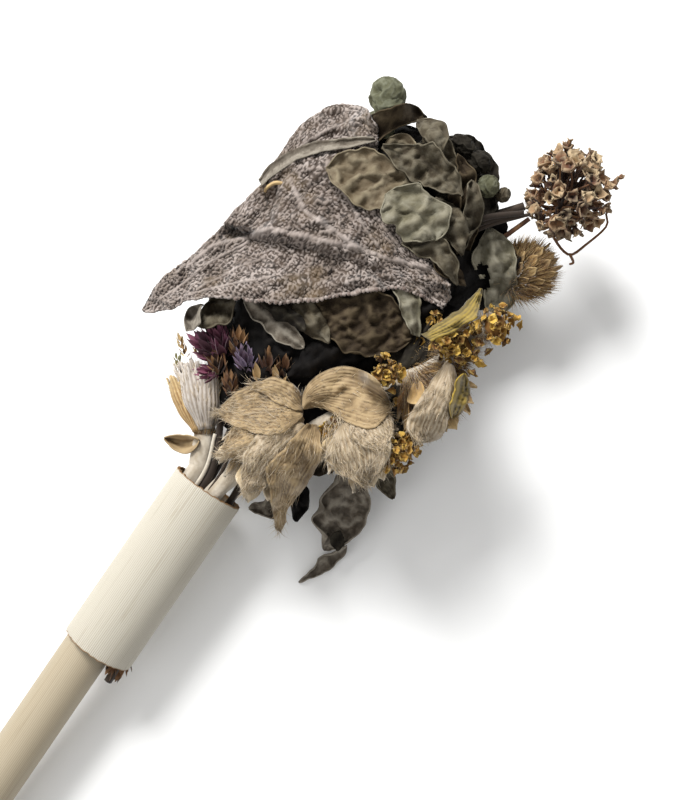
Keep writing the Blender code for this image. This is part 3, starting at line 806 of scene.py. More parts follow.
def smallPartsFinish(name, tones, tipColour, tipShare, roughness=0.8, sheen=0.1, tipFrom=0.6):
    # petals, husks or hairs: each has its own tone, and its tip fades to another colour
    tree, shader = newFinish(name, roughness, sheen=sheen)
    stops = [(i / (len(tones) - 1), tone) for i, tone in enumerate(tones)]
    colour = colourRamp(tree, attribute(tree, "tone"), stops)
    tip = addNode(tree, "ShaderNodeMapRange", {"From Min": tipFrom, "From Max": 1.0,
                                               "To Max": tipShare},
                  {"Value": attribute(tree, "tip")}).outputs[0]
    colour = mixColours(tree, tip, colour, tipColour)
    grain = addNode(tree, "ShaderNodeMapRange", {"From Min": 0.4, "From Max": 0.7,
                                                 "To Max": 0.3},
                    {"Value": noiseValue(tree, 0.7, 3.0)}).outputs[0]
    colour = mixColours(tree, grain, colour, tones[0])
    tree.links.new(colour, shader.inputs["Base Color"])
    addBump(tree, shader, noiseValue(tree, 0.4, 3.0), 0.35, 0.08)


leafLooks = {
    "khakiLeaf": dict(dark="#453928", base="#645948", light="#7c715c", stain="#4e4229",
                      vein="#807663", rim="#988f77"),
    "greenGreyLeaf": dict(dark="#4f4b3b", base="#706b5c", light="#858274", stain="#5c563d",
                          vein="#898576", rim="#a09a88"),
    "umberLeaf": dict(dark="#271f15", base="#4c4537", light="#635e52", stain="#3c3120",
                      vein="#696356", rim="#7e7766"),
    "brownLeaf": dict(dark="#1b130c", base="#362c1f", light="#493e2f", stain="#282014",
                      vein="#534737", rim="#685c46"),
    "darkLeaf": dict(dark="#0d0906", base="#1f1b14", light="#332f27", stain="#161210",
                     vein="#39342b", rim="#474237"),
    # voidLeaf: near-black painted shade, for sheets that stand where one sees into the heap's gaps
    "voidLeaf": dict(dark="#030202", base="#090605", light="#110e0a", stain="#060505",
                     vein="#0e0b09", rim="#17130f"),
    "greyLeaf": dict(dark="#2f261d", base="#6a6257", light="#8a8377", stain="#453a2e",
                     vein="#8d867a", rim="#a39d90"),
    "knobLeaf": dict(dark="#353422", base="#565643", light="#737564", stain="#47442c",
                     vein="#7a7c6d", rim="#8f907d"),
}


def makeFinishes():
    for name, look in leafLooks.items():
        driedLeafFinish(name, look)
    sageFinish("sage")
    reedFinish("sleeveReed", "#b8b3a6", "#968b78", "#938367", "#785832")
    reedFinish("handleReed", "#a69a84", "#8c7f68", "#7f6f55", "#705632")
    strawFinish("strawBract", dict(dark="#574428", base="#816a4a", light="#998360",
                                   rib="#a9936e", rim="#9d8763"))
    strawFinish("paleBract", dict(dark="#705e40", base="#8e7a5f", light="#a7967f",
                                  rib="#b4a790", rim="#b1a48c"))
    strawFinish("goldBract", dict(dark="#383012", base="#5e4f27", light="#7f6b2c",
                                  rib="#9b8437", rim="#a98c2b"))
    smallPartsFinish("yellowPetal", ["#4a2c0c", "#7d5518", "#a37a29", "#c7a54a"], "#cdb060", 0.5)
    smallPartsFinish("strawHair", ["#7d6743", "#a58d66", "#c2ad88", "#dccbb0"], "#e6dcc8", 0.5,
                     sheen=0.3)
    smallPartsFinish("brownHair", ["#4a2f14", "#76542c", "#9a7845", "#bba06c"], "#cdb484", 0.5,
                     sheen=0.2)
    smallPartsFinish("silverCalyx", ["#77695a", "#998d80", "#b3aaa0", "#cdc7c0"], "#c9c1b8", 0.4,
                     sheen=0.3)
    smallPartsFinish("tanCalyx", ["#6d4f2c", "#937247", "#b59a6c", "#d2c093"], "#c9b78b", 0.4)
    smallPartsFinish("purpleBract", ["#2c0b16", "#4d1c2c", "#6c2f46", "#865068"], "#96697c",
                     0.35, tipFrom=0.3)
    smallPartsFinish("mauveBract", ["#3f2a38", "#614a5c", "#7f6b84", "#988ba5"], "#a095ab", 0.4)
    smallPartsFinish("brownBud", ["#20110a", "#46291a", "#6e4a2c", "#96714a"], "#a98a62", 0.4)
    smallPartsFinish("headHusk", ["#2c150a", "#62391f", "#91704f", "#b9a482"], "#c4b18f", 0.5,
                     tipFrom=0.55)
    smallPartsFinish("herbStem", ["#150e0a", "#271c14", "#3d3023", "#5c4c39"], "#5c4c39", 0.2)
    smallPartsFinish("woollyStem", ["#7c6b57", "#a09481", "#bdb3a2", "#d0c8ba"], "#d0c8ba",
                     0.3, sheen=0.4)
    smallPartsFinish("sageBead", ["#5f5048", "#796a62", "#8f8279", "#a0948d"], "#a0948d", 0.2,
                     sheen=0.3)
    smallPartsFinish("fleckGreen", ["#55522f", "#737045", "#8f8b5c", "#a5a173"], "#a5a173", 0.3)
    _, shader = newFinish("paleFloor", 0.95, specular=0.1)
    shader.inputs["Base Color"].default_value = toLinear("#f7f7f6")


makeFinishes()
print("finishes made")


# the reeds

reedSleeve = {"radius": 7.5, "wall": 0.6, "length": 39.0, "ribs": 120, "ribDepth": 0.008}
reedHandle = {"radius": 4.9, "bore": 3.7, "boreDepth": 9.0, "length": 128.0, "inside": 18.0,
              "ribs": 84, "ribDepth": 0.004}


def ribbedTube(name, profile, sides, ribs, ribDepth, centreY, finish, node, ragged):
    # turns a closed profile of (x, radius, ribbed, edge) about the reeds' axis
    angle = np.arange(sides) * math.tau / sides
    groove = np.abs(np.cos(angle * ribs / 2)) ** 0.8
    points, edge, tone = [], [], []
    for x, radius, ribbed, cut in profile:
        swell = 1 + ribbed * (ribDepth * (groove - 1)
                              + 0.006 * softNoise(x / 16 + 0 * angle, np.cos(angle) * 2, 5))
        shift = ragged * cut * softNoise(angle * 9, 0 * angle + 2.0, 8)
        r = radius * swell
        points.append(np.stack([x + shift, centreY + r * np.cos(angle), r * np.sin(angle)],
                               axis=1))
        edge.append(np.full(sides, float(cut)))
        tone.append(groove * ribbed)
    rows = len(profile)
    faces = []
    for i in range(rows - 1):
        for j in range(sides):
            k = (j + 1) % sides
            faces.append((i * sides + j, i * sides + k, (i + 1) * sides + k, (i + 1) * sides + j))
    closed = profile[0][:2] == profile[-1][:2]
    if closed:
        points.pop()
        edge.pop()
        tone.pop()
        last = (rows - 1) * sides
        faces = [tuple(i - last if i >= last else i for i in face) for face in faces]
    else:
        faces.append(tuple(reversed(range(sides))))
        faces.append(tuple(range((rows - 1) * sides, rows * sides)))
    values = {"edge": np.concatenate(edge), "tone": np.concatenate(tone)}
    piece = meshPiece(name, np.vstack(points), faces, values)
    piece.data.set_sharp_from_angle(angle=math.radians(50))
    finishPiece(piece, finish, (node,))
    return piece


def makeReeds():
    r, wall = reedSleeve["radius"], reedSleeve["wall"]
    end = -reedSleeve["length"]
    outer = [(x, r, 1, 0) for x in np.linspace(-0.5, end + 0.5, 12)]
    profile = [(0.0, r - 0.08, 1, 1)] + outer + [(end, r - 0.08, 1, 1), (end, r - wall, 0, 1),
                                                (end + 0.8, r - wall, 0, 0.6),
                                                (-0.8, r - wall, 0, 0.6), (0.0, r - wall, 0, 1),
                                                (0.0, r - 0.08, 1, 1)]
    ribbedTube("reedSleeveSkin", profile, 960, reedSleeve["ribs"], reedSleeve["ribDepth"], 0.0,
               "sleeveReed", "reed_sleeve", 0.2)
    middle, room = nodeRoom("reed_handle")
    start = middle[0] - room[0]
    stop = middle[0] + room[0]
    h = reedHandle["radius"]
    skin = [(x, h, 1, 0) for x in np.linspace(start + 0.4, stop - 0.2, 18)]
    profile = [(start + reedHandle["boreDepth"], reedHandle["bore"], 0, 0.5),
               (start, reedHandle["bore"], 0, 1), (start, h - 0.1, 1, 1)] + skin + [
                   (stop, h - 0.2, 1, 1)]
    ribbedTube("reedHandleSkin", profile, 504, reedHandle["ribs"], reedHandle["ribDepth"],
               middle[1], "handleReed", "reed_handle", 0.15)


makeReeds()
sleeveRing = np.linspace(0, math.tau, 90, endpoint=False)
for ringX in np.arange(-20.0, 0.01, 0.3):
    ring = np.stack([ringX + 0 * sleeveRing, 7.5 * np.cos(sleeveRing), 7.5 * np.sin(sleeveRing)],
                    axis=1)
    addToHeap(ring)
print("reeds made")


# stems

stems = {
    "tea_stem_left": dict(radius=(2.4, 2.0), finish="woollyStem", slot="woolly_straw",
                          path=[(-18, 4.2, 0.6), (0, 3.6, 0.8), (4, 4.6, 1.0), (8, 6.4, 1.0),
                                (12, 9.5, 0.5)]),
    "tea_stem_main": dict(radius=(1.9, 1.5), finish="woollyStem", slot="woolly_straw",
                          path=[(-18, -1.2, 4.3), (0, -1.6, 4.6), (10, -5, 5.5), (22, -11, 6.0),
                                (36, -17, 6.0), (49, -21, 5.0)]),
    "sage_stem": dict(radius=(1.2, 1.0), finish="herbStem", slot="herb_stem",
                      path=[(-18, 1.2, -4.6), (0, 1.2, -4.2), (20, 4, -3), (40, 7, -1),
                            (58, 6, 1)]),
    "leafy_stem": dict(radius=(1.0, 0.8), finish="herbStem", slot="herb_stem",
                       path=[(-18, -1.8, -0.6), (0, -2, -0.6), (20, -2.5, 0), (45, -4, 1),
                             (62, -8, 2), (72, -13, 4), (81, -20, 5)]),
    "oregano_stem_upper": dict(radius=(0.8, 0.6), finish="herbStem", slot="herb_stem",
                               path=[(-43, -5.4, 1.2), (-36, -5.2, 1.5), (0, -5.2, 1.5),
                                     (8, -3, 2.0), (16, 3, 4.2), (23, 8, 5.0)]),
    "oregano_stem_lower": dict(radius=(0.8, 0.6), finish="herbStem", slot="herb_stem",
                               path=[(-42, -4.8, -2.6), (-36, -4.9, -2.3), (0, -5, -2.2),
                                     (12, -9, -3), (24, -15, -3), (34, -20, -3)]),
    "flower_head_stalk": dict(radius=(0.7, 0.45), finish="brownBud", slot="herb_stem",
                              path=[(50, -13, -1), (62, -17, 0), (72, -19.5, 1),
                                    (80, -22.3, 3)]),
}


def makeStems():
    for name, spec in stems.items():
        path = smoothPath(spec["path"], 60)
        radii = np.linspace(*spec["radius"], 60)
        points, faces = tubeMesh(path, radii, 20, ribs=7, ribDepth=0.06, seed=len(name))
        tone = np.clip(0.5 + 0.4 * softNoise(points[:, 0] / 4, points[:, 1] / 1.0, 3), 0, 1)
        piece = meshPiece(name + "_skin", points, faces, {"tone": tone, "tip": tone * 0})
        finishPiece(piece, spec["finish"], (name,))
        addToHeap(points[points[:, 0] > -19])


# loose twigs: bare stems beside the woolly ones, broken ends and thin flower stalks
twigs = {
    "bareStem": (0.9, "herbStem", [(-6, 1.2, 4.2), (2, 1.0, 4.4), (7, 2.4, 4.6), (13, 5.5, 4.6)]),
    "bareStemThin": (0.5, "herbStem", [(-6, -0.4, 5.4), (3, -0.8, 5.6), (9, 0.2, 5.8)]),
    "paleStem": (0.45, "woollyStem", [(-6, 2.2, 5.2), (3, 2.2, 5.4), (10, 4.6, 5.6)]),
    "brokenEndUpper": (0.7, "herbStem", [(66, -10, 6), (74, -14.6, 7), (79.6, -20.6, 6.4)]),
    "brokenEndMiddle": (0.6, "herbStem", [(66, -11, 5), (73.6, -15.2, 6), (78.4, -20.0, 5.8)]),
    "brokenEndLower": (0.45, "herbStem", [(66, -12, 4), (73, -15.8, 5.6), (80.2, -21.8, 6.0)]),
    "redStalkOne": (0.3, "brownBud", [(14, 2, 4.6), (21, 4.5, 6.5), (27.5, 5.5, 7.5)]),
    "redStalkTwo": (0.28, "brownBud", [(15, 3, 4.6), (22, 3.2, 6.8), (30, 2.6, 7.6)]),
    "redStalkThree": (0.26, "brownBud", [(16, 4, 5), (22, 7.5, 6.8), (27, 10, 7.2)]),
    "redStalkFour": (0.26, "brownBud", [(16, 4, 5), (20, 8, 6.6), (24, 12, 7.0)]),
    "redStalkFive": (0.24, "brownBud", [(17, 2, 5), (24, 1.5, 7.2), (28.5, 0.6, 7.8)]),
}


def makeTwigs():
    batches = {}
    for radius, finish, path in twigs.values():
        line = smoothPath(path, 26)
        points, faces = tubeMesh(line, np.linspace(radius, radius * 0.75, 26), 10, ribs=3,
                                 ribDepth=0.12, seed=int(path[0][0] * 7) % 50)
        batches.setdefault(finish, Batch()).add(points, faces, dice.uniform(0.1, 0.8))
    for finish, batch in batches.items():
        piece, _ = batch.piece("twigs_" + finish)
        finishPiece(piece, finish)


makeStems()
makeTwigs()
print("stems made")


def leafSpec(spine, width, finish, slot, **rest):
    return dict(spine=spine, width=width, finish=finish, slot=slot, **rest)


def edgedLeaf(near, far, finish, slot, **rest):
    return dict(near=near, far=far, finish=finish, slot=slot, **rest)


def seenLeaf(height, near, far, finish, slot, **rest):
    # a leaf whose edges are drawn as they look from above at this height
    return edgedLeaf(near, far, finish, slot, seenAt=height, **rest)


# leaves deep in the heap, painted near-black as shade, that close it where one sees between the others

deepLeaves = {
    "deepLeafOne": leafSpec([(12, 2), (28, 5), (48, 12)], 22, "voidLeaf", "dark_leaf"),
    "deepLeafTwo": leafSpec([(14, -8), (34, -10), (56, -6)], 22, "voidLeaf", "dark_leaf"),
    "deepLeafThree": leafSpec([(50, 12), (66, 8), (82, 2)], 22, "voidLeaf", "dark_leaf"),
    "deepLeafFour": leafSpec([(48, -12), (64, -14), (80, -10)], 20, "voidLeaf", "dark_leaf"),
}
for name, spec in deepLeaves.items():
    layLeaf(name, dict(spec, nodes=(), hug=0.9, stiff=0.3, step=0.9, bulge=0.4, gap=-1.5))


# guessed lumps of crumpled leaf that fill the head and show only through its gaps:
# middle and half size; they cut into the leaves around them
innerLumps = {
    "innerLumpStem": ((30, -2, -3.5), (15, 11, 7)),
    "innerLumpMiddle": ((48, 3, -3), (18, 13, 8)),
    "innerLumpRight": ((52, -11, -3), (18, 9, 7.5)),
    "innerLumpTip": ((70, -1, -2), (13, 12, 8)),
    "innerLumpTea": ((40, -20, 3), (15, 7, 6)),
}


def packInside():
    for i, (name, (middle, room)) in enumerate(innerLumps.items()):
        layLump(name, middle, room, "darkLeaf", 51 + i, 0.28, 2.6)


# what lies low at the rim

rimLeaves = {
    # rimRoll: a rolled leaf painted near-black as shade at the rim
    "rimRoll": leafSpec([(11, -15.5), (7, -17), (3.6, -18.5)], 6, "voidLeaf", "dark_leaf",
                        nodes=(), cup=2.0, rolls=[(1, 1.6, 0.7), (-1, 1.6, 0.7)]),
    "rim_leaf_1": seenLeaf(6, [(15.5, -18), (9, -18.6), (6.2, -19.8), (4.2, -23), (3.3, -25.6)],
                            [(20, -23.6), (16.5, -28.6), (10.3, -30), (6.3, -29.2),
                             (3.6, -26.4)], "greyLeaf", "dark_leaf", cup=0.8, arch=3.0,
                            hug=0.45, rolls=[(-1, 2.6, 0.9), (1, 1.4, 0.7)], crumple=1.1,
                            ragged=0.4, veinSpacing=2.4, slant=0.4, veinRise=-0.55,
                            ridges=[([(17, -24), (12, -22), (8, -23)], 2.2, 1.2),
                                    ([(15, -20.5), (11, -20.5)], -2.0, 1.2)]),
    "rim_leaf_2": leafSpec([(8, -14.5), (3.5, -12), (0.8, -9.0)], 6.5, "greyLeaf", "dark_leaf",
                           cup=1.8, rolls=[(-1, 1.4, 0.7), (1, 1.0, 0.6)]),
    "rim_leaf_3": leafSpec([(5, -30), (-1, -28.6), (-7.5, -26.3)], 4, "greyLeaf", "dark_leaf",
                           cup=0.8, hug=0.2, crumple=0.7, rolls=[(1, 0.9, 0.5), (-1, 0.9, 0.5)]),
    "rim_leaf_4": leafSpec([(27, -22), (22, -27.5), (18.5, -32.5)], 8, "umberLeaf", "dark_leaf",
                           cup=1.5, crumple=1.4, rolls=[(1, 1.6, 0.7), (-1, 1.2, 0.6)]),
    "rimStub": leafSpec([(7, -27), (4.5, -28), (3.2, -29)], 3, "darkLeaf", "dark_leaf",
                        nodes=(), hug=0.3, crumple=0.8),
}
for name, spec in rimLeaves.items():
    layLeaf(name, spec)
print("rim leaves laid")


# mountain tea whorls: woolly bracts and a coat of hairs

def furOn(name, count, length, finish, along=0.8, out=0.5, spread=0.5, uRange=(0.1, 1.0),
          facing=1):
    # hairs that grow from a laid leaf or bract towards its tip
    grid = laid[name]
    rows, columns = grid.shape[:2]
    batch = Batch()
    for _ in range(count):
        i = int(rows * dice.uniform(*uRange) * 0.999)
        j = int(columns * dice.random())
        back = grid[max(i - 3, 0), j]
        front = grid[min(i + 3, rows - 1), j]
        ahead = Vector(front - back)
        if ahead.length < 1e-6:
            continue
        ahead.normalize()
        ahead = ahead * along + Vector((0, 0, facing)) * dice.uniform(0.05, out) + Vector(
            (dice.uniform(-1, 1), dice.uniform(-1, 1), dice.uniform(-0.3, 0.3))) * spread
        addHair(batch, grid[i, j], ahead, length * dice.uniform(0.4, 1.1), tone=dice.random())
    piece, _ = batch.piece(name + "_fur")
    finishPiece(piece, finish)


def woolBall(name, middle, room, count, length, finish, along=(0, 0, 0)):
    # a tuft of hairs that stands out all round, swept to one side
    batch = Batch()
    for _ in range(count):
        way = Vector((dice.gauss(0, 1), dice.gauss(0, 1), dice.gauss(0, 1))).normalized()
        place = [m + w * r * dice.uniform(0.45, 0.8) for m, w, r in zip(middle, way, room)]
        ahead = way * dice.uniform(0.3, 0.8) + Vector(along)
        addHair(batch, place, ahead, length * dice.uniform(0.4, 1.1), tone=dice.random())
    piece, _ = batch.piece(name)
    finishPiece(piece, finish)


teaWhorls = {
    "tea_whorl_fan": dict(bracts=16, hairs=1500, turn=200, small="strawHair", hair="strawHair"),
    "tea_whorl_middle": dict(bracts=18, hairs=1300, turn=240, small="strawHair",
                             hair="strawHair"),
    "tea_whorl_right": dict(bracts=18, hairs=1900, turn=250, small="brownHair",
                            hair="brownHair"),
}


def makeWhorl(name, spec, bractLength=7.0, hairLength=4.0, bractWidth=4.2, sweep=0.8):
    middle, room = nodeRoom(name)
    heading = math.radians(spec["turn"])
    along = Vector((math.cos(heading), math.sin(heading), 0.0))
    bracts = Batch()
    for i, way in enumerate(aroundBall(spec["bracts"], 0.7)):
        place = [m + w * r * 0.45 for m, w, r in zip(middle, way, room)]
        ahead = way * 0.7 + along * 0.8
        turn, shift = placeMatrix(place, ahead, way)
        shape, faces, tip = petalShape(bractLength * dice.uniform(0.8, 1.1), bractWidth, 9, 9, cup=0.5,
                                       curl=0.05, frill=0.16, seed=i)
        bracts.add(shape @ turn.T + shift, faces, dice.uniform(0.1, 0.9), tip)
    piece, points = bracts.piece(name + "_bracts", 0.15)
    finishPiece(piece, spec["small"], (name,))
    addToHeap(points)
    woolBall(name + "_hairs", middle, room, spec["hairs"], hairLength, spec["hair"],
             along * sweep)


for name, spec in teaWhorls.items():
    makeWhorl(name, spec)


def calyxShape(length, radius, ribs=17, teeth=5, rows=16, columns=68):
    # a ribbed open cup from its foot at 0 along +X, with a toothed mouth
    u = np.linspace(0, 1, rows)[:, None]
    a = np.linspace(0, math.tau, columns)[None, :]
    rib = np.cos(a * ribs)
    swell = radius * (0.3 + 0.7 * smoothStep(0.0, 0.45, u)) * (1 - 0.15 * smoothStep(0.6, 1, u))
    r = swell * (1 + 0.06 * rib * smoothStep(0.05, 0.3, u))
    r = r * (1 + 0.12 * softNoise(u * 3 + radius, np.cos(a) * 1.5, ribs))
    tooth = np.abs(np.cos(a * teeth / 2)) ** 1.5
    x = length * u * (1 - 0.16 * (1 - tooth) * smoothStep(0.5, 1, u))
    points = np.stack([x, r * np.cos(a), r * np.sin(a)], axis=-1).reshape(-1, 3)
    tone = 0.5 + 0.4 * rib + 0 * u
    return points, gridFaces(rows, columns), tone.reshape(-1), (u + 0 * a).reshape(-1)


# foot, tip, radius, kind of each cup of the left whorl
leftCups = [((8.0, 8.2, 2.5), (14.8, 18.2, 2.0), 1.9, "tanCalyx"),
            ((9.2, 7.4, 3.2), (18.6, 16.8, 4.6), 2.4, "silverCalyx"),
            ((10.0, 6.6, 3.0), (19.6, 13.2, 5.2), 2.4, "silverCalyx"),
            ((9.6, 7.6, 1.0), (18.0, 18.4, 0.4), 2.3, "silverCalyx"),
            ((10.2, 6.2, 0.8), (20.0, 10.8, 2.4), 2.0, "silverCalyx"),
            ((8.4, 8.0, -0.5), (15.5, 17.0, -3.2), 2.1, "tanCalyx"),
            ((9.8, 6.8, -0.8), (19.0, 13.6, -3.4), 2.3, "tanCalyx")]

leftStrands = {"count": 46, "length": (4.5, 7.5)}
leftCollar = {"place": (8.4, 6.6, 1.2), "radius": 2.0, "hairs": 150,
              "across": (-0.55, 0.83, 0), "ahead": (0.8, 0.6, 0)}


def makeLeftWhorl():
    batches = {}
    fur = Batch()
    strands = Batch()
    for foot, tip, radius, kind in leftCups:
        ahead = Vector(tip) - Vector(foot)
        turn, shift = placeMatrix(foot, ahead, (0, 0, 1))
        shape, faces, tone, share = calyxShape(ahead.length, radius)
        points = shape @ turn.T + shift
        tone = np.clip(tone * 0.8 + dice.uniform(0, 0.2), 0, 1)
        batches.setdefault(kind, Batch()).add(points, faces, tone, share)
        count = 260 if kind == "silverCalyx" else 110
        for _ in range(count):
            root = points[dice.randrange(len(points))]
            away = Vector(root) - Vector(foot) - ahead * (Vector(root) - Vector(foot)).dot(
                ahead) / ahead.length_squared
            lean = ahead.normalized() * 1.0 + away.normalized() * dice.uniform(0.1, 0.5)
            addHair(fur, root, lean, dice.uniform(0.8, 2.6), tone=dice.random())
    for kind, batch in batches.items():
        nodes = ("tea_whorl_left",) if kind == "silverCalyx" else ()
        piece, points = batch.piece("leftWhorl_" + kind, 0.2)
        finishPiece(piece, kind, nodes)
        addToHeap(points)
        if kind == "silverCalyx":
            # loose strands stand along the last cup only
            for _ in range(leftStrands["count"]):
                a = dice.uniform(0, math.tau)
                _, side, up = [Vector(c) for c in turn.T]
                around = side * math.cos(a) + up * math.sin(a)
                root = Vector(foot) + ahead * dice.uniform(0.05, 0.45) + around * radius
                addHair(strands, root, ahead.normalized() + around * dice.uniform(-0.08, 0.14),
                        dice.uniform(*leftStrands["length"]), 0.17, 0.2, 5, dice.random())
    piece, _ = strands.piece("leftWhorl_strands")
    finishPiece(piece, "silverCalyx")
    collar = Batch()
    for _ in range(leftCollar["hairs"]):
        a = dice.uniform(0, math.tau)
        side = Vector(leftCollar["across"]) * math.cos(a) + Vector((0, 0, 1)) * math.sin(a)
        root = Vector(leftCollar["place"]) + side * leftCollar["radius"]
        addHair(collar, root, side * 0.5 + Vector(leftCollar["ahead"]), dice.uniform(0.8, 2.2),
                tone=dice.random())
    piece, _ = fur.piece("leftWhorl_fur")
    finishPiece(piece, "strawHair")
    piece, _ = collar.piece("leftWhorl_collar")
    finishPiece(piece, "brownHair")


makeLeftWhorl()
layLeaf("tea_bract_curled", leafSpec([(7.0, 6.6), (4.4, 9), (3.2, 12.8)], 3.8, "strawBract",
                                     "straw_bract", cup=2.2, hug=0.3, ribs=7, crumple=0.3,
                                     wave=0.4, ragged=0.2, tip=1.5, gap=-0.6))
print("tea whorls made")


# leaves inside the head, painted near-black as shade

innerLeaves = {
    "inner_leaf_1": leafSpec([(20, 3), (36, 6), (56, 11)], 20, "voidLeaf", "dark_leaf",
                             stiff=0.5, hug=0.9, crumple=1.4),
    "inner_leaf_2": leafSpec([(40, -9), (58, -7), (76, -2)], 20, "voidLeaf", "dark_leaf",
                             stiff=0.5, hug=0.9, crumple=1.4),
    "innerFold": leafSpec([(42, -12), (35, -5), (27, -1)], 7, "voidLeaf", "dark_leaf",
                          nodes=(), fold=1.5),
}
for name, spec in innerLeaves.items():
    layLeaf(name, dict(spec, step=0.5))


# oregano flowers

def makeTuft(name, foot, tip, size, count, finish, nodes=(), slender=0.35, spread=0.75):
    # a spike of overlapping pointed scales
    foot, tip = Vector(foot), Vector(tip)
    lean = (tip - foot).normalized()
    side = lean.cross(Vector((0.2, 0.3, 0.9))).normalized()
    batch = Batch()
    for i in range(count):
        share = (i / count) ** 0.8
        a = i * 2.4 + dice.uniform(-0.3, 0.3)
        around = side * math.cos(a) + lean.cross(side) * math.sin(a)
        place = foot.lerp(tip, share * 0.65) + around * size * 0.12
        turn, shift = placeMatrix(place, lean + around * spread * (1.1 - share), around)
        length = size * dice.uniform(0.75, 1.2)
        shape, faces, tips = petalShape(length, length * slender, 7, 5, cup=0.7, curl=0.12,
                                        point=1.3, widest=0.5, seed=i + count)
        batch.add(shape @ turn.T + shift, faces, dice.random(), tips)
    piece, points = batch.piece(name)
    finishPiece(piece, finish, nodes)
    addToHeap(points)


tufts = {
    "oreganoFanUpper": ((23.5, 11.5, 5.0), (27.4, 16.5, 7.0), 4.2, 34, "purpleBract",
                        ("oregano_flower_1",)),
    "oreganoFanLower": ((22.5, 12.0, 6.0), (23.6, 17.6, 7.5), 4.0, 30, "purpleBract", ()),
    "oreganoFanLeft": ((20.5, 10.5, 6.0), (18.4, 13.6, 7.0), 3.0, 22, "purpleBract", ()),
    "oreganoMauve": ((23.5, 5.8, 6.5), (26.2, 8.4, 8.5), 3.4, 30, "mauveBract", ()),
    "oreganoBrownUpper": ((24.5, 9.0, 6.0), (29.4, 12.2, 7.2), 3.2, 26, "brownBud",
                          ("oregano_flower_2",)),
    "oreganoBrownMiddle": ((20.0, 10.5, 6.5), (22.6, 13.6, 7.6), 2.8, 20, "brownBud", ()),
    "oreganoBudLower": ((17.6, 5.8, 6.0), (21.4, 8.6, 7.2), 2.8, 22, "brownBud", ()),
    "oreganoSprig": ((25.0, 2.4, 7.0), (29.6, 4.0, 8.6), 3.4, 18, "brownBud", ()),
    "oreganoSprigDark": ((26.0, -0.2, 7.0), (30.4, 1.4, 8.6), 3.2, 16, "brownBud", ()),
    "ochreBudOne": ((18.8, 18.2, 2.0), (22.6, 22.6, 2.4), 1.7, 16, "tanCalyx", ()),
    "ochreBudTwo": ((20.4, 16.2, 3.6), (24.4, 19.2, 4.0), 1.7, 16, "tanCalyx", ()),
    "greenFleck": ((16.4, 18.4, 1.2), (19.0, 20.4, 1.4), 1.4, 10, "fleckGreen", ()),
    "mouthTuft": ((-37.0, -5.6, 0.2), (-41.4, -5.8, 0.0), 3.0, 30, "brownBud", ()),
    "mouthTuftPale": ((-37.5, -4.2, 2.6), (-41.0, -4.6, 2.8), 2.4, 18, "brownBud", ()),
}
for name, (foot, tip, size, count, finish, nodes) in tufts.items():
    makeTuft(name, foot, tip, size, count, finish, nodes)
for i, (foot, tip) in enumerate([((22.5, 2.0, 8.0), (25.6, 5.0, 10)),
                                 ((24.5, -1.0, 8.0), (27.6, 1.6, 10)),
                                 ((22.0, -1.2, 8.0), (27.8, -1.4, 10))]):
    makeTuft("paleSpike%d" % i, foot, tip, 3.6, 3, "tanCalyx", slender=0.3, spread=0.25)
print("oregano made")


# leaves at the tip of the head

def layCurl(name, middle, radius, turns, height, finish, lean=(0, 0, 1), start=0.5, nodes=()):
    # a leaf margin rolled up like a snail, seen end on
    rows, columns = 90, 10
    t = np.linspace(0, 1, rows)[:, None]
    h = np.linspace(-0.5, 0.5, columns)[None, :]
    angle = start + t * turns * math.tau
    r = radius * (0.16 + 0.84 * t ** 0.9)
    r = r * (1 + 0.1 * softNoise(t * 6 + 0 * h, h * 2, 31) + 0.25 * h * h)
    rise = height * h * (0.6 + 0.4 * (1 - t)) + 0.2 * softNoise(t * 9 + 0 * h, h + 4, 32)
    shape = np.stack([r * np.cos(angle), r * np.sin(angle), rise], axis=-1).reshape(-1, 3)
    turn, shift = placeMatrix(middle, Vector(lean).cross(Vector((0.31, 0.93, 0.17))), lean)
    points = shape @ turn.T + shift
    values = {"vein": np.zeros(rows * columns),
              "edge": (np.abs(h) * 2 + 0 * t).reshape(-1),
              "tone": np.zeros(rows * columns)}
    piece = meshPiece(name, points, gridFaces(rows, columns), values, 0.3)
    finishPiece(piece, finish, nodes)
    addToHeap(points)


def layLump(name, middle, room, finish, seed, depth=0.2, folds=1.3, nodes=(), dent=None):
    # a leaf dried into a crumpled ball
    co, faces = ballShape(5)
    bend = 0.35 * softNoise(co[:, 0] * 2, co[:, 1] * 2 + co[:, 2], seed + 5)
    fold = creases(co[:, 0] * folds + co[:, 2] + bend, co[:, 1] * folds - co[:, 2] + bend, seed)
    fine = creases(co[:, 0] * 2.4 + co[:, 2] * 1.5, co[:, 1] * 2.4, seed + 1)
    swell = 1 + depth * (fold - 0.6) + 0.2 * depth * (fine - 0.5)
    if dent:
        swell = swell - 0.45 * np.exp(-((co[:, 0] - dent[0]) ** 2 + (co[:, 1] - dent[1]) ** 2)
                                      / dent[2] ** 2) * (co[:, 2] > 0)
    points = co * swell[:, None] * np.array(room) + np.array(middle)
    # creaseTone here drives painted shade in the fold hollows of the ball
    values = {"vein": np.clip(fold, 0, 1) ** 8, "edge": 0.975 * np.clip(fold, 0, 1) ** 3,
              "tone": co[:, 0], "creaseTone": np.clip((fold - 0.4) * 0.8, -1, 0.6)}
    piece = meshPiece(name, points, faces, values)
    finishPiece(piece, finish, nodes)
    addToHeap(points)


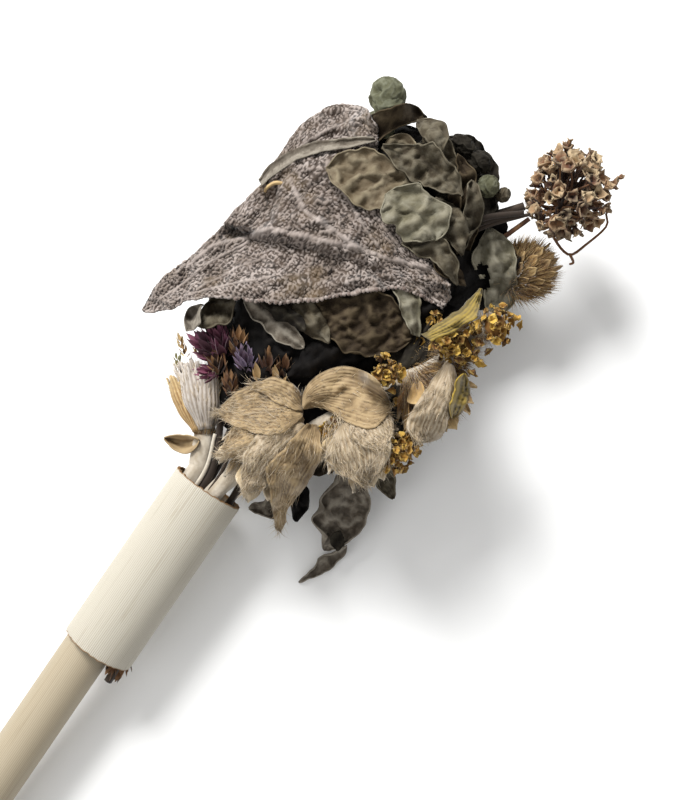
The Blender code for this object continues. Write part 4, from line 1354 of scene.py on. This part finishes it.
tipLeaves = {
    "dark_leaf_1": leafSpec([(80.5, 0), (77, -5.5), (73, -10.5), (68.5, -15.5)], 10, "darkLeaf",
                            "dark_leaf", arch=2.0, pleats=(3, 0.5), crumple=1.3),
    "dark_leaf_2": leafSpec([(84, 0), (82.5, -6), (79, -11), (73, -15.5)], 9, "darkLeaf",
                            "dark_leaf", arch=1.0, pleats=(3, 0.5), crumple=1.3,
                            rolls=[(-1, 1.2, 0.6)]),
    "darkFoldUpper": leafSpec([(79.5, 4), (80.5, -2), (77.5, -8), (73.5, -12.5)], 6, "darkLeaf",
                              "dark_leaf", nodes=(), arch=1.5, crumple=1.4, bulge=0.5,
                              rolls=[(1, 1.0, 0.6), (-1, 1.0, 0.6)]),
    "darkFoldLower": leafSpec([(76, -6), (72.5, -11), (67.5, -14), (63, -18)], 6, "brownLeaf",
                              "dark_leaf", nodes=(), arch=1.0, crumple=1.4,
                              rolls=[(1, 1.0, 0.6), (-1, 1.0, 0.6)]),
    "knobNeck": leafSpec([(76, 10.8), (79, 12.5), (82.5, 14)], 6.5, "knobLeaf", "dark_leaf",
                         nodes=(), cup=-2.5, arch=1.0, bulge=0.3, crumple=0.6),
}
for name, spec in tipLeaves.items():
    layLeaf(name, spec)


def makeKnob():
    middle, room = nodeRoom("knob_leaf")
    layLump("knobBall", middle, room * np.array([0.78, 0.78, 0.95]), "knobLeaf", 21, 0.12, 0.6,
            ("knob_leaf",), dent=(-0.2, 0.55, 0.22))
    layLump("knobCap", middle + np.array([-1.5, -1.2, 0.8]), room * 0.64, "knobLeaf", 23,
            0.12, 0.7)


makeKnob()
packInside()
layLeaf("knob_flap", seenLeaf(18, [(71.6, 12.8), (72.2, 9.6), (76.5, 8.2), (81.3, 4.2)],
                              [(74.4, 15.4), (78.8, 12.2), (83, 8), (82.4, 4.8)], "brownLeaf",
                              "dark_leaf", cup=2.4, crumple=0.9, gap=0.4, wave=0.5, ragged=0.4,
                              rolls=[(1, 1.0, 0.5), (-1, 1.0, 0.5)]))
layCurl("snailCurl", (80.0, 2.2, 12.0), 1.6, 1.6, 2.6, "umberLeaf", (0.35, -0.35, 1))
layLump("budBall", (79.6, -12.0, 8.0), (2.2, 2.1, 2.1), "knobLeaf", 31, 0.18, 1.0)
layLump("budBallSmall", (80.2, -15.4, 6.5), (1.5, 1.4, 1.4), "umberLeaf", 33, 0.2, 1.1)
layLump("budBallDark", (82.6, -8.0, 8.0), (2.0, 2.6, 2.4), "darkLeaf", 35, 0.22, 0.9)
layLump("budBallInner", (83.2, -3.4, 8.5), (1.8, 2.6, 2.2), "darkLeaf", 37, 0.22, 0.9)
print("tip leaves laid")


# the brown flower head, the woolly whorl by it and the torn leaves

def addCup(batch, place, out, size, tone, petals=6, open=0.55, width=0.7):
    side = out.cross(Vector((0.2, 0.4, 0.9))).normalized()
    for k in range(petals):
        a = k * math.tau / petals + dice.uniform(-0.45, 0.45)
        around = side * math.cos(a) + out.cross(side) * math.sin(a)
        turn, shift = placeMatrix(place, out + around * open * dice.uniform(0.5, 1.5), -around)
        length = size * dice.uniform(0.75, 1.15)
        shape, faces, tip = petalShape(length, length * width, 6, 5, cup=0.55, curl=-0.12,
                                       point=0.9, widest=0.55, frill=0.35,
                                       seed=dice.randrange(900))
        batch.add(shape @ turn.T + shift, faces,
                  min(1, max(0, tone + dice.uniform(-0.2, 0.2))), tip)


flowerHead = {
    "stalks": 96,
    "buried": 60,                   # husks deep inside, that close it
    # directions in which it is open
    "gaps": [(-0.35, 0.55, 0.5), (0.1, -0.1, 0.9), (-0.6, 0.1, 0.6)],
    # bent stalks outside it: two bare ones and two that end in a husk
    "bareStalks": [[(80.5, -27.5, 1), (79.3, -31, 0), (79.4, -33.4, 0), (82.5, -34.6, 1),
                    (87.5, -35.8, 2), (89.4, -34.2, 3)],
                   [(79.3, -33.2, 0), (78.4, -34.6, 0), (77.6, -34.2, 0.3)]],
    "huskStalks": [[(92.4, -21.2, 4), (94.6, -20.6, 4.6), (95.8, -20.3, 5)],
                   [(93.6, -30.4, 3.5), (95.2, -31.8, 4), (96.0, -32.2, 4.6)]],
}


def makeFlowerHead():
    middle, room = nodeRoom("flower_head")
    husks, inner, stalks = Batch(), Batch(), Batch()
    foot = Vector(middle) + Vector((-room[0] * 0.35, -room[1] * 0.1, -1.0))
    gaps = [Vector(gap) for gap in flowerHead["gaps"]]
    for way in aroundBall(flowerHead["stalks"], 1.3):
        if any((way - gap).length < 0.3 for gap in gaps):
            continue
        reach = dice.uniform(0.66, 0.98)
        place = Vector([m + w * r * reach for m, w, r in zip(middle, way, room)])
        out = (way * 0.8 + Vector((dice.uniform(-0.4, 0.4), dice.uniform(-0.4, 0.4),
                                   dice.uniform(-0.2, 0.4)))).normalized()
        addCup(husks, place, out, dice.uniform(1.5, 3.2), dice.uniform(0.0, 1.0),
               petals=dice.choice((4, 5, 6)), width=dice.uniform(0.6, 0.95))
        addCup(inner, place + out * 0.3, out, 1.2, dice.uniform(0, 0.3), petals=4)
        bend = foot.lerp(place, 0.55) + Vector((dice.uniform(-1, 1), dice.uniform(-1, 1), 0.4))
        path = smoothPath([foot[:], bend[:], place[:]], 8)
        points, faces = tubeMesh(path, np.linspace(0.26, 0.2, 8), 6)
        stalks.add(points, faces, dice.random())
    for _ in range(flowerHead["buried"]):
        way = Vector((dice.gauss(0, 1), dice.gauss(0, 1), dice.gauss(0, 1))).normalized()
        reach = dice.uniform(0.2, 0.6)
        place = Vector([m + w * r * reach for m, w, r in zip(middle, way, room)])
        addCup(inner, place, way, dice.uniform(1.2, 2.0), dice.uniform(0, 0.6), petals=4)
    for line in flowerHead["bareStalks"] + flowerHead["huskStalks"]:
        path = smoothPath(line, 20)
        points, faces = tubeMesh(path, np.linspace(0.3, 0.22, 20), 8)
        stalks.add(points, faces, dice.uniform(0.3, 0.8))
    for line in flowerHead["huskStalks"]:
        out = (Vector(line[-1]) - Vector(line[-2])).normalized()
        addCup(husks, Vector(line[-1]), out, 1.4, 0.5, petals=4, open=0.25)
    for batch, name, finish, nodes in ((husks, "flowerHeadHusks", "headHusk", ("flower_head",)),
                                       (inner, "flowerHeadInner", "brownBud", ()),
                                       (stalks, "flowerHeadStalks", "brownBud", ())):
        piece, _ = batch.piece(name, 0.12 if batch is husks else None)
        finishPiece(piece, finish, nodes)


makeFlowerHead()
makeWhorl("woolly_whorl", dict(bracts=40, hairs=4200, turn=-20, small="brownHair",
                               hair="brownHair"), 4.6, 3.6, 2.0, 0.45)

sideLeaves = {
    # tornUnder: a near-black sheet of painted shade under the torn leaf and its holes
    "tornUnder": leafSpec([(57, -18), (66, -21.6), (73, -25)], 12, "voidLeaf", "dark_leaf",
                          nodes=(), crumple=0.5),
    "torn_leaf": seenLeaf(6, [(73.3, -16.2), (69.9, -16.6), (65.9, -17.1), (63, -20.7),
                            (60.0, -24.1), (60.3, -27.4)],
                           [(73.7, -16.8), (73.8, -21.1), (72.2, -24), (70.6, -26.4),
                            (64.6, -29.2), (61, -28.4)], "greenGreyLeaf", "grey_green_leaf",
                           cup=-1.5, arch=1.5, crumple=1.2, ragged=0.5,
                           holes=[(66.2, -20.4, 1.5), (64.7, -22.2, 1.6)],
                           ridges=[([(72, -18), (68.6, -21), (67, -26)], 1.4, 0.8),
                                   ([(70.6, -24.6), (67.5, -24), (63, -26.4)], -1.2, 0.8)],
                           rolls=[(1, 0.9, 0.5), (-1, 0.9, 0.5)]),
}
for name, spec in sideLeaves.items():
    layLeaf(name, spec)
print("right side made")


# leaves under the sage

underLeaves = {
    "under_leaf_1": leafSpec([(47, -16.5), (44.5, -6), (41, 6)], 15, "brownLeaf",
                             "grey_green_leaf", arch=2.5, cup=1.5, crumple=1.5,
                             rolls=[(-1, 1.2, 0.7), (1, 1.0, 0.6)]),
    "under_leaf_2": leafSpec([(35.5, 15), (34.5, 8), (33.6, -0.5)], 5.4, "greyLeaf",
                             "grey_green_leaf", fold=2.2, crumple=1.0, bulge=0.5,
                             rolls=[(-1, 0.9, 0.5), (1, 0.8, 0.5)]),
    "under_leaf_3": leafSpec([(40, 12), (39.5, 5), (37, -4)], 6, "umberLeaf", "dark_leaf",
                             fold=1.8, rolls=[(-1, 0.8, 0.5)]),
    "underFold": leafSpec([(38, 14), (37.6, 8), (36.4, 1)], 4, "darkLeaf", "dark_leaf",
                          nodes=(), fold=1.5),
    "under_leaf_4": leafSpec([(33.5, 15.5), (29.5, 17.5), (25.5, 18.5)], 7, "umberLeaf",
                             "grey_green_leaf", cup=1.4, arch=1.0,
                             rolls=[(1, 1.0, 0.5), (-1, 1.0, 0.5)]),
    "underSmall": leafSpec([(29.5, 20.5), (26.5, 21), (23.4, 20.6)], 4.4, "greyLeaf",
                           "dark_leaf", nodes=(), cup=1.0, rolls=[(-1, 0.8, 0.5)]),
    "under_leaf_5": seenLeaf(14, [(54, -5.6), (51.5, -8.4), (49.5, -11.6), (47, -15.5)],
                              [(55, -9.2), (53.8, -13), (51, -15.8), (47.6, -17.6)],
                              "greenGreyLeaf", "grey_green_leaf", fold=1.6, crumple=0.9,
                              rolls=[(1, 0.8, 0.5), (-1, 0.7, 0.4)]),
}
for name, spec in underLeaves.items():
    layLeaf(name, spec)
print("leaves under the sage laid")


# yellow florets and straw bracts of the mountain tea

def heapTop(x, y):
    ix, iy = gridPlace(x, y)
    return float(np.median(heap[1][ix - 3:ix + 4, iy - 3:iy + 4]))


# share of a cluster's room that its core fills, and how far out its petals stand
floretCore = 0.55
floretReach = (0.35, 1.1)


def makeFlorets(name, middle, room, count, size=1.7, nodes=()):
    batch = Batch()
    if not nodes:
        middle = (middle[0], middle[1], heapTop(middle[0], middle[1]) + 0.6 * room[2])
    ball, faces = ballShape(2)
    batch.add(ball * np.array(room) * floretCore + np.array(middle), faces, 0.25)
    for way in aroundBall(int(count * 1.8), 0.4):
        if way.z < -0.5:
            continue
        reach = dice.uniform(*floretReach)
        place = Vector([m + w * r * reach for m, w, r in zip(middle, way, room)])
        out = (way + Vector((dice.uniform(-1, 1), dice.uniform(-1, 1), 0.3))).normalized()
        addCup(batch, place, out, size * dice.uniform(0.5, 0.95), dice.uniform(0.0, 1.0),
               petals=4, open=0.7, width=1.2)
    piece, points = batch.piece(name)
    finishPiece(piece, "yellowPetal", nodes)
    addToHeap(points)


floretSpots = [((47.6, -18.4, 6.5), (1.5, 1.6, 1.4), 10), ((23.0, -13.8, 13.5), (2.6, 1.6, 1.6), 22),
               ((38.0, -16.2, 10.5), (1.8, 1.6, 1.6), 12), ((26.8, -25.6, 5), (3.4, 2.4, 2.4), 24),
               ((52.6, -18.0, 7), (1.4, 1.0, 1.0), 6), ((43.4, -30.0, 3), (2.6, 1.2, 1.4), 10),
               ((33.0, -27.4, 4.5), (1.8, 1.4, 1.4), 8), ((48.6, -22.0, 6.5), (2.2, 2.2, 1.8), 16),
               ((35.6, -22.6, 7), (1.6, 1.4, 1.2), 6)]


def makeAllFlorets():
    for name, count in {"tea_floret_1": 34, "tea_floret_2": 26, "tea_floret_3": 20,
                        "tea_floret_4": 14}.items():
        middle, room = nodeRoom(name)
        makeFlorets(name + "_petals", middle, room, count, nodes=(name,))
    for i, (middle, room, count) in enumerate(floretSpots):
        makeFlorets("looseFlorets%d" % i, middle, room, count)


teaBracts = {
    "tea_bract_5": (leafSpec([(26, -15), (23.5, -20), (19, -25)], 13, "paleBract",
                             "straw_bract", arch=1.0, cup=-1.5, ribs=15), 700, "strawHair"),
    "paleBractLow": (leafSpec([(30, -16), (28.5, -20), (26.5, -24)], 9, "paleBract",
                              "straw_bract", nodes=(), arch=1.0, cup=-1.0, ribs=11), 700,
                     "strawHair"),
    "tea_bract_6": (edgedLeaf([(47, -24.6), (39, -24.0), (33, -25.0), (31, -28)],
                              [(47, -26), (44.2, -28.8), (39.3, -30.8), (34, -31.4),
                               (31.2, -29.6)], "paleBract", "straw_bract", arch=1.0, cup=-1.5,
                              ribs=13), 300, "strawHair"),
    "goldSpear": (leafSpec([(47, -28.6), (43.5, -30.4), (38.6, -31.6)], 3.4, "goldBract",
                           "straw_bract", nodes=(), cup=1.0, ribs=3), 0, ""),
    "tea_bract_2": (leafSpec([(22.5, -8), (15.5, -3.5), (8, 1.2)], 10, "strawBract",
                             "straw_bract", arch=1.4, cup=-1.4, ribs=13), 1050, "strawHair"),
    "whiteBract": (leafSpec([(21.5, -9), (13, -7), (4.5, -6.8)], 10, "paleBract",
                            "straw_bract", nodes=(), arch=1.4, cup=-1.2, ribs=13), 1100,
                   "strawHair"),
    "tea_bract_1": (leafSpec([(23, -7.5), (19, 0), (14, 6)], 9.5, "strawBract", "straw_bract",
                             arch=1.4, cup=-1.2, ribs=13), 750, "strawHair"),
    "goldenBract": (leafSpec([(23.8, -7), (24.2, -2), (22.2, 4)], 4.6, "strawBract",
                             "straw_bract", nodes=(), arch=1.0, cup=-0.8, ribs=7), 120,
                    "strawHair"),
    "tea_bract_3": (edgedLeaf([(22, -9.2), (15.5, -8.4), (10.6, -7.6), (7, -11), (2, -15.5)],
                              [(23, -11), (17.8, -15.2), (11.8, -15.6), (7, -15.4),
                               (2, -16.6)], "strawBract", "straw_bract", arch=2.0, cup=-1.0,
                              ribs=11, ribRise=0.42), 260, "strawHair"),
    "tea_bract_4": (edgedLeaf([(23.9, -7), (26.2, -10), (26.6, -15.7), (28.5, -20.2),
                               (33.2, -21)],
                              [(24.1, -6.7), (26.8, -5.2), (30.9, -5.7), (35.2, -9),
                               (36.6, -14.9), (34.2, -20.4)], "strawBract", "straw_bract",
                              arch=3.0, cup=-2.2, ribs=19, ribRise=0.36, ragged=0.05), 160,
                    "strawHair"),
    "tea_bract_7": (edgedLeaf([(48.6, -17.4), (53.8, -19.8), (57.6, -21.2), (62.4, -21.9)],
                              [(48.6, -19.6), (53.6, -22.9), (58, -24.2), (62.6, -22.3)],
                              "goldBract", "straw_bract", seenAt=8, tip=1.5, fold=1.6, ribs=5,
                              ridges=[([(52.8, -20.8), (57, -22.4), (61.8, -22.2)], 0.9, 0.5)]),
                    0, ""),
}


def layBracts():
    for name, (spec, hairs, hairFinish) in teaBracts.items():
        layLeaf(name, dict(dict(crumple=0.7, wave=0.7, ragged=0.5, gap=0.2, seenAt=10), **spec))
        if hairs:
            furOn(name, hairs, 3.0, hairFinish)


def makeTeaTip():
    # the woolly end of the mountain tea stem, that carries its last florets
    line = smoothPath([(36, -17, 6), (43, -22, 11), (50, -24.6, 15.4), (56.6, -27.2, 20.6)], 40)
    points, faces = tubeMesh(line, np.linspace(1.6, 0.9, 40), 18, ribs=6, ribDepth=0.08)
    tone = np.clip(0.5 + 0.4 * softNoise(points[:, 0] / 3, points[:, 1], 3), 0, 1)
    piece = meshPiece("teaTipStem", points, faces, {"tone": tone, "tip": tone * 0})
    finishPiece(piece, "woollyStem")
    woolBall("teaTipWool", (49.5, -24.4, 13.4), (6.5, 4.2, 4.2), 1600, 3.2, "brownHair",
             (0.2, -0.2, 0.3))
    woolBall("teaTipWoolEnd", (55.6, -26.8, 18.6), (2.6, 2.4, 2.6), 700, 2.4, "brownHair",
             (0.1, -0.1, 0.3))


makeTeaTip()
woolBall("brownWoolUpper", (44, -22.6, 6.4), (5.5, 4.4, 3.0), 1900, 3.0, "brownHair",
         (-0.3, -0.3, 0.3))
woolBall("brownWoolLower", (36.5, -23.8, 6.5), (3.6, 3.0, 2.4), 900, 2.6, "brownHair",
         (-0.3, -0.3, 0.3))
makeAllFlorets()
layBracts()
makeFlorets("shellFloret", (22.6, -13.6, 14.0), (2.4, 1.5, 1.4), 18)
print("tea bracts laid")


# the sage

sageVeins = [([(34, 25.6), (40, 23.7), (44.9, 19.4), (47.9, 15.6), (50, 10.4), (51.5, 6.3),
               (53.6, 1), (55.6, -5), (57.6, -9.8), (58.4, -14)], 1.1, 1.1),
             ([(57.5, 18.6), (54.2, 12.9), (53.8, 9.7), (53.9, 5.7), (53.6, 1)], 0.7, 0.9),
             ([(57, 21), (54, 19.6), (51, 18.6), (49.4, 17.2)], -1.6, 0.9),
             ([(26, 26.4), (32, 24), (38, 22), (44, 19)], 0.45, 0.5),
             ([(31.5, 21), (36.5, 18.4), (43, 14.5)], 0.4, 0.45),
             ([(29, 22.6), (35, 16.6), (41, 10.5), (46, 9.6)], 0.4, 0.45),
             ([(63, 14.4), (60.5, 8), (57.5, 2), (56, -3)], 0.45, 0.5),
             ([(62.4, 6), (60, 0), (58, -6)], 0.4, 0.45)]
sageFall = [([(46.5, 18.6), (47.9, 15.0), (49.6, 10.2), (50.8, 6.0), (52.6, 0.8), (54.6, -5),
              (56.4, -10), (57.2, -14.4)], 4.6, 2.0)]

sageLeaves = {
    "sage_leaf_back": edgedLeaf([(54.6, 19.4), (58.6, 17.6), (61.8, 16.2), (64.4, 14.2),
                                 (67.6, 10.6), (70.4, 8)],
                                [(57.6, 23.2), (61.5, 22.8), (67.5, 22.4), (73.1, 20),
                                 (76, 15.8), (75, 11)], "sage", "sage", step=0.24, seenAt=20,
                                arch=2.0, wave=1.0, net=0.82, crumple=0.8, thickness=0.45,
                                ragged=0.3, base=2,
                                ridges=[([(59, 22), (66, 20), (73.4, 15.4)], 0.5, 0.5)]),
    "sage_leaf_large": edgedLeaf([(22.4, 26.7), (24.6, 24.2), (26.2, 22.7), (29.1, 21.2),
                                  (33.3, 15.7), (36.5, 9.5), (40.7, 3.7), (47, -3.1),
                                  (49.6, -5.6), (52.6, -9.6), (53.6, -13.6), (53.9, -17.8)],
                                 [(22.4, 27.3), (28.4, 27.8), (35.3, 25.8), (40.7, 24.4),
                                  (46.6, 23.7), (52.8, 22.6), (59.2, 20.3), (62.8, 18.6),
                                  (67.9, 13.6), (68, 5), (63.4, -3), (61, -10), (59.6, -13.8),
                                  (56.4, -18)],
                                 "sage", "sage", step=0.275, seenAt=20, arch=2.0, base=11.0,
                                 wave=1.3, hug=0.85, net=0.85, crumple=0.9, thickness=0.45,
                                 ragged=0.3, ridges=sageVeins, steps=sageFall),
}
for name, spec in sageLeaves.items():
    layLeaf(name, spec)


def spotOn(name, x, y, height):
    # the point of a laid leaf that is seen from above at this place
    points = laid[name].reshape(-1, 3)
    scale = (viewpoint["height"] - height) / (viewpoint["height"] - points[:, 2])
    seenX = viewpoint["x"] + (points[:, 0] - viewpoint["x"]) * scale
    seenY = viewpoint["y"] + (points[:, 1] - viewpoint["y"]) * scale
    return points[np.hypot(seenX - x, seenY - y).argmin()]


def makeBeads(name, column, first, last, radius=0.42):
    # the beaded margin: small felted knots along one edge of a laid leaf
    grid = laid[name]
    line = grid[int(len(grid) * first):int(len(grid) * last), column]
    steps = np.concatenate([[0], np.cumsum(np.linalg.norm(np.diff(line, axis=0), axis=1))])
    batch = Batch()
    ball, faces = ballShape(2)
    for at in np.arange(0.4, steps[-1], 0.98):
        place = np.array([np.interp(at, steps, line[:, k]) for k in range(3)])
        size = radius * np.array([dice.uniform(0.8, 1.15) for _ in range(3)])
        knobbly = 1 + 0.18 * softNoise(ball[:, 0] * 2 + at, ball[:, 1] * 2, 41)
        jitter = np.array([dice.uniform(-0.12, 0.12) for _ in range(3)])
        batch.add(ball * knobbly[:, None] * size + place + jitter, faces, dice.random())
    piece, _ = batch.piece(name + "_beads")
    finishPiece(piece, "sageBead")


makeBeads("sage_leaf_large", 0, 0.3, 0.97)
makeBeads("sage_leaf_large", -1, 0.5, 0.68, 0.36)
layLeaf("sageFoldEdge", edgedLeaf([(53.6, 22.2), (57.4, 21.4), (63.2, 18.4), (69.2, 12.4),
                                   (72.2, 9.6)],
                                  [(54.4, 23.6), (58.6, 23.2), (64.6, 20), (70.4, 13.8),
                                   (72.6, 10.2)], "greyLeaf", "sage", nodes=(), seenAt=20,
                                  cup=1.0, crumple=0.5, wave=0.3, ragged=0.15))
stalkSpot = spotOn("sage_leaf_large", 54.6, 19.6, 20)
stalk = smoothPath([(stalkSpot[0] + dx, stalkSpot[1] + dy, stalkSpot[2] + dz) for dx, dy, dz in
                    ((-2.2, 1.4, -0.4), (-1.0, 1.4, 0.9), (0.8, 0.4, 1.3), (1.8, -1.8, 0.3))], 30)
stalkPoints, stalkFaces = tubeMesh(stalk, np.linspace(0.28, 0.42, 30), 14, ribs=4, ribDepth=0.12)
stalkPiece = meshPiece("sageStalkCurl", stalkPoints, stalkFaces,
                       {"tone": np.full(len(stalkPoints), 0.7), "tip": stalkPoints[:, 0] * 0})
finishPiece(stalkPiece, "tanCalyx")
print("sage laid")


# khaki leaves on top

tipFolds = {
    "tipFoldOne": leafSpec([(81.0, 2.0), (78.0, -3), (73.5, -7)], 5.4, "umberLeaf", "dark_leaf",
                           fold=1.8, rolls=[(1, 1.1, 0.6)]),
    "tipFoldTwo": leafSpec([(80.0, -4), (76.5, -8.5), (71, -11.6)], 4.6, "brownLeaf",
                           "dark_leaf", fold=-1.2, rolls=[(1, 0.9, 0.5), (-1, 1.0, 0.5)]),
    "tipFoldThree": leafSpec([(77.5, -9), (72.5, -12.8), (66.5, -15)], 4.6, "umberLeaf",
                             "dark_leaf", cup=1.8, rolls=[(1, 0.9, 0.5)]),
    "tipFoldFour": leafSpec([(71.5, -5), (69.0, -10), (65.5, -15.5)], 5.0, "umberLeaf",
                            "dark_leaf", fold=1.6, rolls=[(-1, 1.1, 0.6)]),
    "tipFoldFive": leafSpec([(82.0, 6.4), (81.0, 1.6), (77.6, -1.4)], 4.6, "umberLeaf",
                            "dark_leaf", fold=1.2, rolls=[(-1, 1.0, 0.5), (1, 0.8, 0.5)]),
    "tipFoldSix": leafSpec([(64.5, -9), (62.0, -13.6), (61.4, -19.4)], 4.2, "brownLeaf",
                           "dark_leaf", fold=1.2, rolls=[(-1, 0.9, 0.5)]),
    "tipFoldSeven": leafSpec([(75.6, 9.4), (77.4, 5.6), (75.4, 1.4)], 4.4, "khakiLeaf",
                             "grey_green_leaf", fold=1.4, rolls=[(1, 1.0, 0.5)]),
}
for name, spec in tipFolds.items():
    layLeaf(name, dict(dict(nodes=(), crumple=1.6, arch=1.0, tip=-1.0, gap=0.5), **spec))


khakiLeaves = {
    "khaki_leaf_1": seenLeaf(18, [(62.9, 14.3), (61.0, 10.8), (60.8, 6), (63.3, 1.2), (67.2, 0),
                               (70.6, -1.6)],
                              [(63.2, 14.6), (66.3, 14.5), (69, 12.5), (71, 9.5), (71.8, 5.7),
                               (71.6, 1.7), (70.9, -1.4)], "khakiLeaf", "grey_green_leaf",
                              cup=0.8, crumple=1.1, ragged=0.9,
                              ridges=[([(63.7, 9.4), (65.6, 8.7), (67.8, 5.6), (70, 3.6)], 0.9,
                                       0.45), ([(62.4, 8), (64.6, 5), (66.5, 1.5)], -0.8, 0.8)],
                              rolls=[(1, 0.7, 0.45), (-1, 0.6, 0.4)]),
    "khaki_leaf_3": seenLeaf(18, [(71.6, 8.0), (70.6, 5), (70.4, 1.9), (70.2, -1), (70.8, -5),
                               (73.3, -9)],
                              [(73.6, 8.6), (76, 4.4), (79, 1), (77.6, -3.8), (76, -6.8),
                               (74.2, -9.2)], "umberLeaf", "grey_green_leaf", crumple=1.5,
                              ragged=1.1, arch=0.8,
                              ridges=[([(76, 3.4), (73.4, 1.8), (71, 0)], 1.5, 0.9),
                                      ([(78, 0.4), (75.6, -3), (72.4, -5.4)], 1.3, 0.9),
                                      ([(73.8, 6.4), (72.6, 3), (73.6, -1)], -0.8, 0.9)],
                              rolls=[(1, 1.0, 0.5), (-1, 0.7, 0.4)]),
    "thin_leaf": leafSpec([(60.6, -4.6), (63.6, -11), (60.4, -18)], 5.4, "umberLeaf",
                          "grey_green_leaf", cup=0.8, ragged=0.6, crumple=1.3,
                          rolls=[(-1, 0.8, 0.5), (1, 0.8, 0.5)]),
    "khaki_leaf_2": seenLeaf(18, [(65.1, 2.6), (62.0, 0.8), (60.8, -4.7), (63.4, -9.6)],
                              [(65.4, 2.8), (68.8, 0.9), (71, -3.5), (69.8, -8), (66, -10.6),
                               (63.9, -10)], "greenGreyLeaf", "grey_green_leaf", cup=-0.6,
                              crumple=1.2, ragged=1.7, arch=1.0,
                              ridges=[([(64, -1.6), (65.6, -3.4), (65.2, -6.4)], -0.9, 0.5),
                                      ([(62, -3), (66, -4.6), (70, -4)], 1.0, 0.6)],
                              rolls=[(1, 0.5, 0.4), (-1, 0.5, 0.4)]),
}
for name, spec in khakiLeaves.items():
    layLeaf(name, spec)
print("khaki leaves laid")


# the underside

backLeaves = {
    "back_leaf_1": leafSpec([(16, 2), (34, 8), (52, 9)], 17, "khakiLeaf", "grey_green_leaf",
                            stiff=0.5, hug=0.9),
    "back_leaf_2": leafSpec([(24, -9), (44, -12), (64, -12)], 17, "greenGreyLeaf",
                            "grey_green_leaf", stiff=0.5, hug=0.9),
    "back_leaf_3": leafSpec([(54, 3), (70, 2), (86, 0)], 19, "umberLeaf", "dark_leaf",
                            stiff=0.5, hug=0.9),
    "back_leaf_4": leafSpec([(12, -7), (25, -18), (40, -24)], 13, "brownLeaf", "dark_leaf",
                            hug=0.9),
    "back_leaf_5": leafSpec([(50, 18), (66, 16), (81, 10)], 13, "brownLeaf", "dark_leaf",
                            hug=0.9),
    "back_sage_leaf": leafSpec([(20, 10), (42, 15), (66, 12)], 18, "sage", "sage", step=0.44,
                               net=1.0, thickness=0.45, rest=0.9, ragged=0.6,
                               ridges=[([(22, 10), (42, 15), (64, 12)], 0.6, 0.7)]),
    "back_leaf_6": leafSpec([(38, -13), (56, -16), (74, -14)], 15, "khakiLeaf",
                            "grey_green_leaf", rest=0.9),
}
for name, spec in backLeaves.items():
    layLeaf(name, dict(dict(step=0.48), facing=-1, **spec))
print("underside laid")


# floor, light and camera

def makeStage():
    bpy.ops.mesh.primitive_plane_add(size=3.0, location=(0, 0, 0))
    floor = bpy.context.object
    floor.name = "paleTable"
    floor.data.materials.append(finishes["paleFloor"])
    world = bpy.data.worlds.new("softStudio")
    bpy.context.scene.world = world
    world.use_nodes = True
    world.node_tree.nodes["Background"].inputs["Color"].default_value = (1, 1, 1, 1)
    world.node_tree.nodes["Background"].inputs["Strength"].default_value = 0.5
    lamps = {"keyLight": ((0.32, 0.46, 0.5), 0.26, 8.2), "fillLight": ((-0.5, 0.3, 0.7), 0.6, 2.0)}
    for name, (place, size, power) in lamps.items():
        light = bpy.data.lights.new(name, "AREA")
        light.size = size
        light.energy = power
        lamp = bpy.data.objects.new(name, light)
        bpy.context.scene.collection.objects.link(lamp)
        lamp.location = place
        aim = Vector((0.05, 0, 0.02)) - Vector(place)
        lamp.rotation_euler = aim.to_track_quat("-Z", "Y").to_euler()
    bpy.context.scene.view_settings.view_transform = "Standard"


def makeCamera():
    # square above the head, with the reeds running up and to the right
    data = bpy.data.cameras.new("camera")
    data.lens = viewpoint["lens"]
    data.sensor_width = 36.0
    data.clip_start = 0.01
    data.clip_end = 10.0
    camera = bpy.data.objects.new("camera", data)
    bpy.context.scene.collection.objects.link(camera)
    turn = math.radians(viewpoint["turn"])
    right = Vector((math.cos(turn), -math.sin(turn), 0))
    up = Vector((math.sin(turn), math.cos(turn), 0))
    facing = Matrix((right, up, Vector((0, 0, 1)))).transposed().to_4x4()
    place = Vector((viewpoint["x"], viewpoint["y"], viewpoint["height"])) * mm
    camera.matrix_world = bundleFrame @ Matrix.Translation(place) @ facing
    bpy.context.scene.camera = camera


makeStage()
makeCamera()
